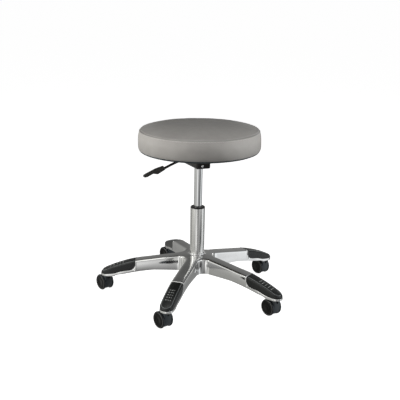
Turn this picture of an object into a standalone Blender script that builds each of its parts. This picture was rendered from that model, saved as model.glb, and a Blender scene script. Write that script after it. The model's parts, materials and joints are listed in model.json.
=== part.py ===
# Height-adjustable round stool on a five-arm cast base with twin-wheel casters.
#
# The scene is in metres, +Z up, the floor at Z = 0. The swivel axis stands at
# (AXIS_X, AXIS_Y), so that the footprint's bounding box is centred on the origin.
# Every length below is in millimetres and becomes metres in the helpers. Heights of
# the base, column and seat are above the floor. Profiles are lists of (radius, height).

import bpy
import bmesh
import math
from collections import namedtuple
from mathutils import Matrix, Vector

MM = 0.001

# ---- overall layout --------------------------------------------------------------------
AXIS_X, AXIS_Y = 40.0, -13.5          # swivel axis in the world
ARM_COUNT = 5
FIRST_ARM_DEG = 180.0                 # direction of arm 1; the others follow every sector
SECTOR = 360.0 / ARM_COUNT
GAP = 0.3                             # clearance between separate pieces

# ---- seat ------------------------------------------------------------------------------
SEAT_BOTTOM = 512.4
SEAT_SEAM_Z = 584.1
SEAT_SEAM_R = 198.3
SEAT_WIDE_R = 203.0
SEAT_WIDE_Z = 548.0
SEAT_TOP = 602.5
SEAT_FLAT_R = 40.0                    # the top is flat inside this radius
SEAT_LIP_R = 150.0                    # inner edge of the cover's turned-in lip
COVER_T = 1.2
COVER_CORNER_R = 188.0                # inside corner between the cover's wall and lip
FOAM_BOTTOM_R = 199.6
DUST_COVER_R_IN, DUST_COVER_R_OUT = 114.0, 178.0
DUST_COVER_T = 0.8
BOARD_R = 188.0
BOARD_T = 12.0
PLATE_SIDE = 150.0
PLATE_T = 3.0
PLATE_TOP = SEAT_BOTTOM + COVER_T
PLATE_UNDER = PLATE_TOP - PLATE_T - GAP   # housing rim and screw heads stop here
BOARD_BOTTOM = PLATE_TOP + GAP
BOARD_TOP = BOARD_BOTTOM + BOARD_T
FOAM_BOTTOM = BOARD_TOP + GAP
SCREW_PITCH = 120.0
SCREW_R = 3.0

# ---- height mechanism ------------------------------------------------------------------
MECH_DEG = 289.0                      # direction the housing's front face looks
LEVER_DEG = MECH_DEG - 90.0           # direction the lever reaches
HOUSING_FRONT = 50.0                  # front wall and back wall, from the swivel axis
HOUSING_BACK = 66.0
HOUSING_W = 48.0                      # at the front wall
HOUSING_FLARE = 13.0                  # how much further out each side is at the back wall
HOUSING_BOTTOM = 459.0
HOUSING_WALL = 2.5
HOUSING_ROUND = 5.0                   # edge rounding
CAVITY_HEIGHT = 60.0                  # reaches past the open top
LEVER_SLOT = (9.8, 10.0, 12.4)        # size in the mechanism's frame
LEVER_SLOT_Z = 493.2
BOLT_Y, BOLT_Z = -5.0, 470.0
BOLT_HOLE_R = 3.0
SOCKET_R = 17.2
SOCKET_TOP = 484.0
EAR_SIZE = (3.6, 9.6, 27.6)
EAR_X, EAR_Y, EAR_Z = 9.0, -13.8, 486.4
PIVOT_S, PIVOT_Z = 13.0, 494.0        # lever pivot: distance from the swivel axis, height
PIVOT_PIN_R = 2.0
PIVOT_PIN_LENGTH = 26.0
BARREL_R, BARREL_LENGTH = 5.0, 12.0
ROD_R = 3.5
HANDLE_HALF = 6.0
HANDLE_BORE = (110.0, 138.6)          # distances from the swivel axis

# lever centre line: (distance from the swivel axis, height)
LEVER_PATH = [(-3.2, 496.6), (PIVOT_S, PIVOT_Z), (40.0, 488.5), (66.0, 481.2), (87.0, 474.0),
              (121.0, 459.0), (137.0, 451.8)]
# handle seen from the side: (distance from the swivel axis, height)
HANDLE_OUTLINE = [(145.0, 440.6), (160.5, 443.6), (180.0, 434.0), (187.0, 432.6),
                  (192.6, 434.0), (195.2, 437.8), (192.0, 441.4), (182.0, 446.4),
                  (157.0, 457.8), (150.0, 460.6), (125.0, 467.6), (118.0, 455.6)]

# ---- column ----------------------------------------------------------------------------
TUBE_R = 25.0
TUBE_WALL = 2.0
TUBE_BOTTOM = 78.0
TUBE_FLOOR_TOP = TUBE_BOTTOM + 3.0
TUBE_TOP = 313.0
COLLAR_TOP = 318.0
COLLAR_CHAMFER = 1.2
CYL_R = 14.0
CYL_BORE_R = CYL_R - 1.5
CYL_BOTTOM = 240.0
CYL_TOP = 485.0
CYL_CEILING = 441.0                   # the pressure space ends here
PISTON_ROD_R = 5.0
ROD_END_R = 4.0                       # thinner lower end of the piston rod
BEARING_Z = TUBE_FLOOR_TOP + GAP      # underside of the thrust bearing
WASHER_R, WASHER_T = 11.5, 1.0
UPPER_WASHER_Z = BEARING_Z + 4.5
CLIP_BOTTOM, CLIP_TOP = 75.4, 76.6
CLIP_GROOVE_R = 3.1
PIN_R = 3.0
VALVE_BORE_Z = 478.0                  # centre of the bore's cutter

# ---- base casting ----------------------------------------------------------------------
ARM_W = 22.0                          # arm half width, also the radius of its round tip
WEB_R = 28.0                          # fillet radius between neighbouring arms
STEM_CIRCLE = 315.0                   # radius of the circle of caster stems
PAD_START = 215.0                     # where the foot pads begin along the arm
PAD_T = 3.0
REBATE = PAD_T + GAP                  # how deep the arm is set back under a pad
CAST_WALL = 4.0
WALL_DRAFT = 0.8                      # the cavity is narrower by this at its ceiling
CEILING_DROP = CAST_WALL + 1.0        # crest down to the cavity's ceiling
EDGE_DROP = 6.2                       # arm crest to the top of the side wall
CAVITY_END = STEM_CIRCLE - 19.0       # the arm is solid beyond this
HUB_R = 30.0
HUB_TOP = 152.0
SOCKET_BOTTOM = 80.0
RIM_Z = 60.6                          # underside of the arm tips
WEB_STEPS = 3
TIP_STEPS = 3
ROOT_STEPS = 3                        # stations from the arm's root to the pads
PAD_STATIONS = (222, 236, 264)        # distances along the arm, under the pads

# rounded edge of an arm: (inset from the outline, drop below the crest)
EDGE = [(0.0, EDGE_DROP), (2.0, 2.6), (11.0, 0.1)]
EDGE_SPAN = EDGE[-1][0]

# ---- casters ---------------------------------------------------------------------------
CASTER_DEG = 38.5                     # turn of each caster about its stem at rest
WHEEL_R = 28.0
TRAIL = 18.0                          # stem to axle
CASTER_HALF = 21.5                    # half the width over both wheels
HOOD_HALF = 13.5
HOOD_TOP = 57.0
HOOD_ARC_R = WHEEL_R - 0.8
STEM_R = 5.5
STEM_TOP, STEM_BOTTOM = 78.6, 30.6
STEM_END_GAP = 0.4
STEM_BORE = 40.0                      # length of the stem holes' cutters
AXLE_R = 3.0
AXLE_CHAMFER = 0.6
AXLE_HALF = 19.4


# ---- scene helpers ---------------------------------------------------------------------
for old in list(bpy.data.objects):
    bpy.data.objects.remove(old, do_unlink=True)


def collection(name):
    made = bpy.data.collections.new(name)
    bpy.context.scene.collection.children.link(made)
    return made


STOOL = collection("dentist_stool")
CUTTERS = collection("cutters")


def material(name, colour, roughness, metallic=0.0):
    made = bpy.data.materials.new(name)
    made.use_nodes = True
    shader = made.node_tree.nodes["Principled BSDF"]
    shader.inputs["Base Color"].default_value = (*colour, 1.0)
    shader.inputs["Roughness"].default_value = roughness
    shader.inputs["Metallic"].default_value = metallic
    made.diffuse_color = (*colour, 1.0)
    return made


VINYL = material("vinyl", colour=(0.24, 0.23, 0.215), roughness=0.5)
FOAM = material("foam", colour=(0.85, 0.78, 0.55), roughness=0.95)
PLYWOOD = material("plywood", colour=(0.58, 0.42, 0.25), roughness=0.65)
CLOTH = material("dust_cloth", colour=(0.02, 0.02, 0.02), roughness=0.9)
BLACK_STEEL = material("black_steel", colour=(0.015, 0.015, 0.015), roughness=0.4, metallic=0.6)
ZINC = material("zinc_steel", colour=(0.55, 0.55, 0.53), roughness=0.35, metallic=1.0)
CHROME = material("chrome", colour=(0.8, 0.81, 0.82), roughness=0.08, metallic=1.0)
TUBE_STEEL = material("tube_steel", colour=(0.62, 0.61, 0.59), roughness=0.25, metallic=1.0)
CAST = material("cast_aluminium", colour=(0.6, 0.6, 0.59), roughness=0.2, metallic=1.0)
PLASTIC = material("black_plastic", colour=(0.012, 0.012, 0.013), roughness=0.35)
PAD_RUBBER = material("pad_rubber", colour=(0.03, 0.031, 0.032), roughness=0.6)
BUMPER_RUBBER = material("bumper_rubber", colour=(0.03, 0.03, 0.03), roughness=0.85)


def polar(radius, degrees):
    angle = math.radians(degrees)
    return (radius * math.cos(angle), radius * math.sin(angle))


def empty(name, parent=None, location=(0, 0, 0), turn_z=0.0):
    made = bpy.data.objects.new(name, None)
    made.empty_display_size = 0.03
    STOOL.objects.link(made)
    made.location = [x * MM for x in location]
    made.rotation_euler = (0.0, 0.0, math.radians(turn_z))
    made.parent = parent
    return made


def place(name, mesh, mat, parent, location=(0, 0, 0), rotation=(0, 0, 0)):
    """Put a mesh in the scene. Without a material it is a hidden boolean operand."""
    made = bpy.data.objects.new(name, mesh)
    (STOOL if mat else CUTTERS).objects.link(made)
    made.parent = parent
    made.location = [x * MM for x in location]
    made.rotation_euler = [math.radians(angle) for angle in rotation]
    if mat:
        mesh.materials.append(mat)
    else:
        made.hide_render = True
        made.display_type = "WIRE"
    return made


def to_mesh(name, shape):
    mesh = bpy.data.meshes.new(name)
    shape.to_mesh(mesh)
    shape.free()
    return mesh


def turned(name, profile, mat, parent, steps=32, loop=False, **where):
    """A piece turned round Z by a Screw modifier. The profile runs down the outside; a
    loop closes on itself, otherwise both ends touch the axis."""
    verts = [(radius * MM, 0.0, z * MM) for radius, z in profile]
    edges = [(i, i + 1) for i in range(len(verts) - 1)]
    if loop:
        edges.append((len(verts) - 1, 0))
    mesh = bpy.data.meshes.new(name)
    mesh.from_pydata(verts, edges, [])
    made = place(name, mesh, mat, parent, **where)
    screw = made.modifiers.new("Screw", "SCREW")
    screw.axis = "Z"
    screw.angle = 2.0 * math.pi
    screw.steps = screw.render_steps = steps
    screw.use_merge_vertices = True
    screw.merge_threshold = 0.00001
    screw.use_smooth_shade = True
    return made


def ring(r_in, r_out, bottom, top):
    """Profile of a plain ring."""
    return [(r_in, top), (r_out, top), (r_out, bottom), (r_in, bottom)]


def box_shape(size, centre):
    shape = bmesh.new()
    bmesh.ops.create_cube(shape, size=1.0)
    bmesh.ops.scale(shape, vec=[x * MM for x in size], verts=shape.verts)
    bmesh.ops.translate(shape, vec=[x * MM for x in centre], verts=shape.verts)
    return shape


def box(name, size, centre, mat, parent):
    return place(name, to_mesh(name, box_shape(size, centre)), mat, parent)


def rod(name, radius, length, mat, parent, steps, **where):
    """A cylinder along its own Z, centred on its origin."""
    shape = bmesh.new()
    bmesh.ops.create_cone(shape, cap_ends=True, segments=steps, radius1=radius * MM,
                          radius2=radius * MM, depth=length * MM)
    return place(name, to_mesh(name, shape), mat, parent, **where)


def curve_mesh(name, points, dimensions, cyclic, **settings):
    """Mesh of a straight-segment curve through 3D points."""
    curve = bpy.data.curves.new(name, "CURVE")
    curve.dimensions = dimensions
    for key, value in settings.items():
        setattr(curve, key, value)
    spline = curve.splines.new("POLY")
    spline.points.add(len(points) - 1)
    for target, point in zip(spline.points, points):
        target.co = (*[x * MM for x in point], 1.0)
    spline.use_cyclic_u = cyclic
    carrier = bpy.data.objects.new(name + "_curve", curve)
    mesh = bpy.data.meshes.new_from_object(carrier)
    bpy.data.objects.remove(carrier)
    shape = bmesh.new()
    shape.from_mesh(mesh)
    bmesh.ops.remove_doubles(shape, verts=shape.verts, dist=1e-6)
    bmesh.ops.recalc_face_normals(shape, faces=shape.faces)
    shape.to_mesh(mesh)
    shape.free()
    mesh.name = name
    return mesh


def plate_outline(name, outline, half_thickness, mat, parent, **where):
    """A flat outline in the piece's own XY plane, given thickness both ways along Z."""
    mesh = curve_mesh(name, [(x, y, 0.0) for x, y in outline], "2D", True,
                      fill_mode="BOTH", extrude=half_thickness * MM)
    return place(name, mesh, mat, parent, **where)


def bevel(piece, width, segments, angle_limit):
    made = piece.modifiers.new("Bevel", "BEVEL")
    made.width = width * MM
    made.segments = segments
    made.limit_method = "ANGLE"
    made.angle_limit = math.radians(angle_limit)


def boolean(piece, operand, operation="DIFFERENCE"):
    made = piece.modifiers.new(operation.title(), "BOOLEAN")
    made.operation = operation
    made.solver = "EXACT"
    made.object = operand


def drill(piece, name, radius, length, parent, steps, **where):
    """Cut a round hole with a hidden cylinder."""
    boolean(piece, rod(name, radius, length, None, parent, steps, **where))


def smooth_curve(points):
    """A smooth single-valued curve through a few control points."""
    xs = [point[0] for point in points]
    ys = [point[1] for point in points]
    slopes = [(ys[i + 1] - ys[i]) / (xs[i + 1] - xs[i]) for i in range(len(xs) - 1)]
    tangents = [slopes[0]]
    for before, after in zip(slopes, slopes[1:]):
        tangents.append(0.0 if before * after <= 0 else 2.0 * before * after / (before + after))
    tangents.append(slopes[-1])

    def height_at(x):
        x = min(max(x, xs[0]), xs[-1])
        i = max(k for k in range(len(xs) - 1) if xs[k] <= x)
        span = xs[i + 1] - xs[i]
        part = (x - xs[i]) / span
        rest = 1 - part
        return (ys[i] * (1 + 2 * part) * rest ** 2 + ys[i + 1] * part * part * (3 - 2 * part)
                + tangents[i] * span * part * rest ** 2
                - tangents[i + 1] * span * part * part * rest)
    return height_at


# ---- the five-arm base -----------------------------------------------------------------
# Heights along an arm: (distance from the swivel axis, height). The crest is the top,
# the keel the lower rim, the hem the lower edge of a foot pad.
crest = smooth_curve([(26, 147.0), (90, 139.2), (160, 128.6), (216, 120.0), (280, 101.0),
                      (315, 86.5), (338, 76.0)])
keel = smooth_curve([(50, 89.5), (145, 89.0), (183, 85.0), (217, 79.0), (262, 69.8),
                     (280, 67.0), (294, RIM_Z), (340, RIM_Z)])
pad_hem = smooth_curve([(215, 104.0), (221, 92.5), (232, 85.5), (262, 80.5), (290, 72.0),
                        (316, 69.0), (338, 67.5)])

HALF = math.radians(SECTOR / 2)
WEB_CENTRE = (ARM_W + WEB_R) / math.sin(HALF)   # fillet centre, on the line between two arms
ARM_START = WEB_CENTRE * math.cos(HALF)         # where the arm's straight side begins

# One cross-section of the half arm: its station on the outline, the rebate outside, the
# extra inset of the cavity, and whether the underside is solid.
Section = namedtuple("Section", "station rebate cavity_step solid")


def station_point(station, inset):
    """Plan position of a station on the arm's outline, moved inwards by inset."""
    kind, value = station
    if kind == "web":                            # value: angle round the fillet centre
        radius = WEB_R + inset
        return (ARM_START + radius * math.cos(value),
                WEB_CENTRE * math.sin(HALF) + radius * math.sin(value))
    if kind == "arm":                            # value: distance along the arm
        return (value, ARM_W - inset)
    radius = ARM_W - inset                       # value: angle round the tip's centre
    return (STEM_CIRCLE + radius * math.cos(value), radius * math.sin(value))


def station_vertex(station, inset, height):
    """The same with its height, a function of the distance from the swivel axis."""
    x, y = station_point(station, inset)
    return (x, y, height(math.hypot(x, y)))


def station_x(station):
    """Where a station of the arm or tip meets the arm's middle line."""
    return station[1] if station[0] == "arm" else STEM_CIRCLE


def tip_stations():
    return [("tip", math.pi / 2 * (1 - i / TIP_STEPS)) for i in range(1, TIP_STEPS + 1)]


def casting_sections():
    start, end = math.pi + HALF, 1.5 * math.pi
    sections = [Section(("web", start + (end - start) * i / WEB_STEPS), 0.0, 0.0, False)
                for i in range(WEB_STEPS)]
    roots = [ARM_START + (PAD_START - ARM_START) * i / ROOT_STEPS for i in range(ROOT_STEPS)]
    # (distance along the arm, rebate, cavity step, solid)
    arm = [(x, 0.0, 0.0, False) for x in roots]
    arm += [(PAD_START - 9.0, 0.0, 0.0, False), (PAD_START - 5.0, 0.0, REBATE, False),
            (PAD_START, 0.0, REBATE, False)]
    arm += [(x, REBATE, REBATE, False) for x in (PAD_START, *PAD_STATIONS, CAVITY_END)]
    arm += [(x, REBATE, REBATE, True) for x in (CAVITY_END, STEM_CIRCLE)]
    sections += [Section(("arm", x), *rest) for x, *rest in arm]
    return sections + [Section(station, REBATE, REBATE, True) for station in tip_stations()]


def ceiling(radius, step=0.0, solid=False):
    return keel(radius) if solid else crest(radius) - CEILING_DROP - step


def outer_row(section):
    """Outside of one section: up the wall, over the rebate and the rounded edge."""
    station, step = section.station, section.rebate
    pad_corner = math.hypot(PAD_START, ARM_W)
    share = ((pad_hem(pad_corner) - GAP - keel(pad_corner))
             / (crest(pad_corner) - keel(pad_corner)))

    def ledge(radius):
        if step:
            return pad_hem(radius) - GAP
        return keel(radius) + share * (crest(radius) - keel(radius))
    row = [station_vertex(station, 0.0, keel), station_vertex(station, 0.0, ledge)]
    row.append((*station_point(station, step), row[-1][2]))
    for inset, drop in EDGE:
        row.append(station_vertex(station, min(inset + step, EDGE_SPAN),
                                  lambda radius: crest(radius) - drop - step))
    return row


def under_row(section):
    """Underside of one section: the rim, the cavity wall and its ceiling."""
    wall = CAST_WALL + section.cavity_step

    def top(radius):
        return ceiling(radius, section.cavity_step, section.solid)
    return [station_vertex(section.station, 0.0, keel),
            station_vertex(section.station, wall, keel),
            station_vertex(section.station, wall + WALL_DRAFT, top),
            station_vertex(section.station, EDGE_SPAN, top)]


def add_face(shape, *points):
    """Add a face with its own vertices, leaving out coincident points."""
    kept = []
    for point in points:
        if not any(math.dist(point, other) < 1e-6 for other in kept):
            kept.append(point)
    if len(kept) >= 3:
        shape.faces.new([shape.verts.new([x * MM for x in point]) for point in kept])


def add_skin(shape, row, next_row, flip=False):
    for k in range(len(row) - 1):
        corners = (row[k], row[k + 1], next_row[k + 1], next_row[k])
        add_face(shape, *(reversed(corners) if flip else corners))


def duplicate(shape, geometry):
    """Copy geometry; returns the new vertices and faces."""
    made = bmesh.ops.duplicate(shape, geom=geometry)["geom"]
    return ([item for item in made if isinstance(item, bmesh.types.BMVert)],
            [item for item in made if isinstance(item, bmesh.types.BMFace)])


def everything(shape):
    return shape.verts[:] + shape.edges[:] + shape.faces[:]


def mirror_across_arm(shape):
    verts, faces = duplicate(shape, everything(shape))
    bmesh.ops.scale(shape, vec=(1, -1, 1), verts=verts)
    bmesh.ops.reverse_faces(shape, faces=faces)


def weld(shape):
    bmesh.ops.remove_doubles(shape, verts=shape.verts, dist=2e-6)


def smooth_mesh(name, shape):
    bmesh.ops.recalc_face_normals(shape, faces=shape.faces)
    for face in shape.faces:
        face.smooth = True
    return to_mesh(name, shape)


def hub_profile():
    """From the arm roots over the collar, down the column bore and back under the web."""
    bore = TUBE_R + GAP
    return [(HUB_R, crest(HUB_R)), (27.6, 148.6), (27.0, 151.2), (26.2, HUB_TOP),
            (bore, HUB_TOP), (bore, SOCKET_BOTTOM), (28.8, SOCKET_BOTTOM),
            (HUB_R, ceiling(HUB_R))]


def hub_row(i, outer, under):
    """Section i of the hub, from the end points of an outer and an under row to the bore."""
    angle = HALF * (1 - i / (WEB_STEPS + 1))
    hub = [(radius * math.cos(angle), radius * math.sin(angle), z)
           for radius, z in hub_profile()]

    def halfway(start, end, height):
        x = (start[0] + end[0]) / 2
        y = (start[1] + end[1]) / 2
        return (x, y, height(math.hypot(x, y)))
    return [outer, halfway(outer, hub[0], crest), *hub, halfway(under, hub[-1], ceiling), under]


def casting_mesh():
    """Half a sector, mirrored across the arm and repeated round the axis."""
    shape = bmesh.new()
    sections = casting_sections()
    top = [outer_row(section) for section in sections]
    low = [under_row(section) for section in sections]
    for i in range(len(sections) - 1):
        add_skin(shape, top[i], top[i + 1])
        add_skin(shape, low[i], low[i + 1], flip=True)

    # strips along the arm's middle line, above and below
    def spine_top(i):
        x = station_x(sections[i].station)
        return (x, 0.0, crest(x) - sections[i].rebate)

    def spine_low(i):
        x = station_x(sections[i].station)
        return (x, 0.0, ceiling(x, sections[i].cavity_step, sections[i].solid))
    for i in range(WEB_STEPS, len(sections) - 1):
        add_face(shape, top[i][-1], spine_top(i), spine_top(i + 1), top[i + 1][-1])
        add_face(shape, low[i + 1][-1], spine_low(i + 1), spine_low(i), low[i][-1])

    hub = [hub_row(i, top[i][-1], low[i][-1]) for i in range(WEB_STEPS + 1)]
    hub.append(hub_row(WEB_STEPS + 1, spine_top(WEB_STEPS), spine_low(WEB_STEPS)))
    for row, next_row in zip(hub, hub[1:]):
        add_skin(shape, row, next_row)

    mirror_across_arm(shape)
    sector = everything(shape)
    for k in range(1, ARM_COUNT):
        verts = duplicate(shape, sector)[0]
        bmesh.ops.rotate(shape, cent=(0, 0, 0), verts=verts,
                         matrix=Matrix.Rotation(math.radians(SECTOR * k), 3, "Z"))
    weld(shape)
    bmesh.ops.dissolve_degenerate(shape, dist=1e-7, edges=shape.edges)
    return smooth_mesh("base_casting", shape)


def pad_row(station, depth):
    """Section of a foot pad's surface at a depth below its outside, from hem to crest."""
    hem = station_vertex(station, 0.0, pad_hem)[2]
    row = [(*station_point(station, depth), hem)]
    for inset, drop in EDGE:
        row.append(station_vertex(station, min(inset + depth, EDGE_SPAN),
                                  lambda radius: crest(radius) - drop - depth))
    x = station_x(station)
    return row + [(x, 0.0, crest(x) - depth)]


def pad_mesh(name):
    """A shell over the arm's end, flush with the arm's side walls."""
    shape = bmesh.new()
    distances = (PAD_START + GAP, *PAD_STATIONS, CAVITY_END, STEM_CIRCLE)
    stations = [("arm", x) for x in distances] + tip_stations()
    outer = [pad_row(station, 0.0) for station in stations]
    inner = [pad_row(station, PAD_T) for station in stations]
    for i in range(len(stations) - 1):
        for k in range(len(EDGE) + 1):
            add_face(shape, outer[i][k], outer[i][k + 1], outer[i + 1][k + 1], outer[i + 1][k])
            add_face(shape, inner[i + 1][k], inner[i + 1][k + 1], inner[i][k + 1], inner[i][k])
        add_face(shape, inner[i][0], outer[i][0], outer[i + 1][0], inner[i + 1][0])
    for k in range(len(EDGE) + 1):
        add_face(shape, outer[0][k + 1], outer[0][k], inner[0][k], inner[0][k + 1])
    mirror_across_arm(shape)
    weld(shape)
    return smooth_mesh(name, shape)


# ---- casters ---------------------------------------------------------------------------
# In a caster's frame Z is the stem, +Y runs from the stem towards the axle, and the axle
# lies along X.
def add_stem(n, caster_axis):
    """The stem stays with the base and is the swivel's own axis."""
    turned("caster_stem_%d" % n,
           [(0, STEM_TOP), (STEM_R - 1.0, STEM_TOP), (STEM_R, 77.0), (STEM_R, RIM_Z - GAP),
            (9.0, RIM_Z - GAP), (9.0, 57.4), (STEM_R, 57.4), (STEM_R, 31.5),
            (4.6, STEM_BOTTOM), (0, STEM_BOTTOM)],
           ZINC, caster_axis, steps=12)


def add_hood(n, caster_axis):
    """Hood between the wheels: outline points are (distance along +Y, height)."""
    def arc(*degrees):
        offsets = [polar(HOOD_ARC_R, angle) for angle in degrees]
        return [(TRAIL + y, WHEEL_R + z) for y, z in offsets]
    outline = (arc(219, 200, 181)
               + [(-8.6, 38.0), (-8.6, 54.5), (-6.6, HOOD_TOP), (7.0, HOOD_TOP)]
               + arc(80, 53, 26, -1, -28))
    hood = plate_outline("caster_hood_%d" % n, outline, HOOD_HALF, PLASTIC, caster_axis,
                         rotation=(90, 0, 90))
    bevel(hood, width=1.6, segments=1, angle_limit=50)
    drill(hood, "hood_stem_hole_%d" % n, STEM_R + GAP, STEM_BORE, caster_axis, steps=16,
          location=(0, 0, STEM_BOTTOM - STEM_END_GAP + STEM_BORE / 2))
    drill(hood, "hood_axle_hole_%d" % n, AXLE_R + GAP, 60, caster_axis, steps=12,
          location=(0, TRAIL, WHEEL_R), rotation=(0, 90, 0))


def add_wheels(n, caster_axis):
    """Axle and two wheels, each turned with its outer face away from the hood."""
    axle_axis = empty("axle_axis_%d" % n, caster_axis, (0, TRAIL, WHEEL_R))
    neck = AXLE_R - AXLE_CHAMFER
    shoulder = AXLE_HALF - AXLE_CHAMFER
    turned("caster_axle_%d" % n,
           [(0, AXLE_HALF), (neck, AXLE_HALF), (AXLE_R, shoulder),
            (AXLE_R, -shoulder), (neck, -AXLE_HALF), (0, -AXLE_HALF)],
           ZINC, axle_axis, steps=12, rotation=(0, 90, 0))
    inner, outer = HOOD_HALF + GAP, CASTER_HALF
    bore, bore_end = AXLE_R + GAP, AXLE_HALF + GAP
    wheel = [(0, outer - 0.6), (9.0, outer - 0.6), (11.0, outer), (20.0, outer),
             (25.0, outer - 2.4), (WHEEL_R, outer - 5.0), (WHEEL_R, inner), (bore, inner),
             (bore, bore_end), (0, bore_end)]
    for side, turn in (("right", 90), ("left", -90)):
        turned("caster_wheel_%s_%d" % (side, n), wheel, PLASTIC, axle_axis, steps=18,
               rotation=(0, turn, 0))


def build_base(root):
    casting = place("base_casting", casting_mesh(), CAST, root, rotation=(0, 0, FIRST_ARM_DEG))
    for n in range(1, ARM_COUNT + 1):
        turn = SECTOR * (n - 1)
        bearing = FIRST_ARM_DEG + turn
        # blind hole in the arm's tip for the stem, in the casting's own frame
        drill(casting, "stem_hole_%d" % n, STEM_R + GAP, STEM_BORE, casting, steps=16,
              location=(*polar(STEM_CIRCLE, turn), STEM_TOP + STEM_END_GAP - STEM_BORE / 2))
        name = "foot_pad_%d" % n
        place(name, pad_mesh(name), PAD_RUBBER, root, rotation=(0, 0, bearing))
        caster_axis = empty("caster_axis_%d" % n, root, (*polar(STEM_CIRCLE, bearing), 0),
                            CASTER_DEG)
        add_stem(n, caster_axis)
        add_hood(n, caster_axis)
        add_wheels(n, caster_axis)


# ---- column ----------------------------------------------------------------------------
def build_column(root):
    """Outer tube with its bushing, and the thrust bearing on the tube's floor."""
    tube_bore = TUBE_R - TUBE_WALL
    floor_hole = ROD_END_R + GAP
    turned("column_tube",
           [(tube_bore, TUBE_TOP), (TUBE_R, TUBE_TOP), (TUBE_R, TUBE_BOTTOM),
            (floor_hole, TUBE_BOTTOM), (floor_hole, TUBE_FLOOR_TOP), (tube_bore, TUBE_FLOOR_TOP)],
           TUBE_STEEL, root, steps=32, loop=True)
    guide_r = CYL_R + GAP
    turned("guide_bushing",
           [(guide_r, COLLAR_TOP), (TUBE_R - COLLAR_CHAMFER, COLLAR_TOP),
            (TUBE_R, COLLAR_TOP - COLLAR_CHAMFER), (TUBE_R, TUBE_TOP + GAP),
            (tube_bore - GAP, TUBE_TOP + GAP), (tube_bore - GAP, CYL_BOTTOM + 2.0),
            (guide_r, CYL_BOTTOM + 2.0)],
           PLASTIC, root, steps=32, loop=True)
    turned("thrust_washer_lower", ring(5.6, WASHER_R, BEARING_Z, BEARING_Z + WASHER_T), ZINC,
           root, steps=20, loop=True)
    # cage profile: (radius, height above BEARING_Z)
    cage = [(5.9, 3.6), (6.6, 4.1), (10.4, 4.1), (11.2, 3.6), (11.2, 2.0), (10.4, 1.5),
            (6.6, 1.5), (5.9, 2.0)]
    turned("thrust_bearing_cage", [(radius, BEARING_Z + z) for radius, z in cage], ZINC,
           empty("bearing_axis", root), steps=24, loop=True)


def build_spindle(spindle_axis):
    """The piston rod and what is fixed to it."""
    washer_top = UPPER_WASHER_Z + WASHER_T
    turned("thrust_washer_upper", ring(ROD_END_R + GAP, WASHER_R, UPPER_WASHER_Z, washer_top),
           ZINC, spindle_axis, steps=20, loop=True)
    shoulder = washer_top + GAP
    turned("piston_rod",
           [(0, 272.0), (4.2, 272.0), (PISTON_ROD_R, 271.0), (PISTON_ROD_R, shoulder),
            (ROD_END_R, shoulder), (ROD_END_R, CLIP_TOP + GAP), (CLIP_GROOVE_R, CLIP_TOP + GAP),
            (CLIP_GROOVE_R, CLIP_BOTTOM - GAP), (ROD_END_R, CLIP_BOTTOM - GAP),
            (ROD_END_R, 74.2), (3.4, 73.6), (0, 73.6)],
           CHROME, spindle_axis, steps=20)
    turned("retaining_clip", ring(CLIP_GROOVE_R + GAP, 7.6, CLIP_BOTTOM, CLIP_TOP), ZINC,
           spindle_axis, steps=20, loop=True)
    turned("bumper",
           [(5.4, 97.0), (10.6, 97.0), (12.2, 95.4), (12.2, 93.4), (10.8, 92.2), (12.2, 91.0),
            (12.2, 89.2), (11.2, 87.8), (5.4, 87.8)],
           BUMPER_RUBBER, spindle_axis, steps=20, loop=True)
    head_bore = PISTON_ROD_R + GAP
    turned("piston_head",
           [(head_bore, 269.0), (11.4, 269.0), (12.1, 268.0), (12.1, 264.4), (11.2, 263.8),
            (11.2, 261.2), (12.1, 260.6), (12.1, 256.0), (11.4, 255.0), (head_bore, 255.0)],
           TUBE_STEEL, spindle_axis, steps=20, loop=True)


def build_gas_cylinder(lift_axis):
    """The cylinder is closed above its pressure space; the valve bore opens upwards."""
    cylinder = turned("gas_cylinder",
                      [(0, CYL_TOP), (12.4, CYL_TOP), (13.2, CYL_TOP - 0.8),
                       (CYL_R, HOUSING_BOTTOM), (CYL_R, CYL_BOTTOM), (CYL_BORE_R, CYL_BOTTOM),
                       (CYL_BORE_R, 436.0), (9.0, CYL_CEILING), (0, CYL_CEILING)],
                      CHROME, lift_axis, steps=28)
    drill(cylinder, "valve_bore", PIN_R + GAP, 40, lift_axis, steps=20,
          location=(0, 0, VALVE_BORE_Z))
    guide_bore = PISTON_ROD_R + GAP
    turned("cylinder_rod_guide",
           [(guide_bore, 253.6), (11.4, 253.6), (CYL_BORE_R - GAP, 252.4),
            (CYL_BORE_R - GAP, 240.6), (guide_bore, 240.6)],
           PLASTIC, lift_axis, steps=20, loop=True)
    turned("release_pin",
           [(0, 491.7), (2.2, 491.7), (PIN_R, 490.8), (PIN_R, 462.8), (2.4, 462.0), (0, 462.0)],
           ZINC, empty("release_pin_axis", lift_axis), steps=20)


# ---- height mechanism ------------------------------------------------------------------
# In the mechanism's frame +X is the housing's front and -Y the side the lever leaves by.
def flared_block(wall, bottom, top):
    """The housing's outline moved inwards by wall, wider towards the back."""
    width = HOUSING_W - 2 * wall
    shape = box_shape((HOUSING_FRONT + HOUSING_BACK - 2 * wall, width, top - bottom),
                      ((HOUSING_FRONT - HOUSING_BACK) / 2, 0, (top + bottom) / 2))
    for vert in shape.verts:
        if vert.co.x < 0:
            vert.co.y *= 1.0 + 2 * HOUSING_FLARE / width
    return shape


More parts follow.
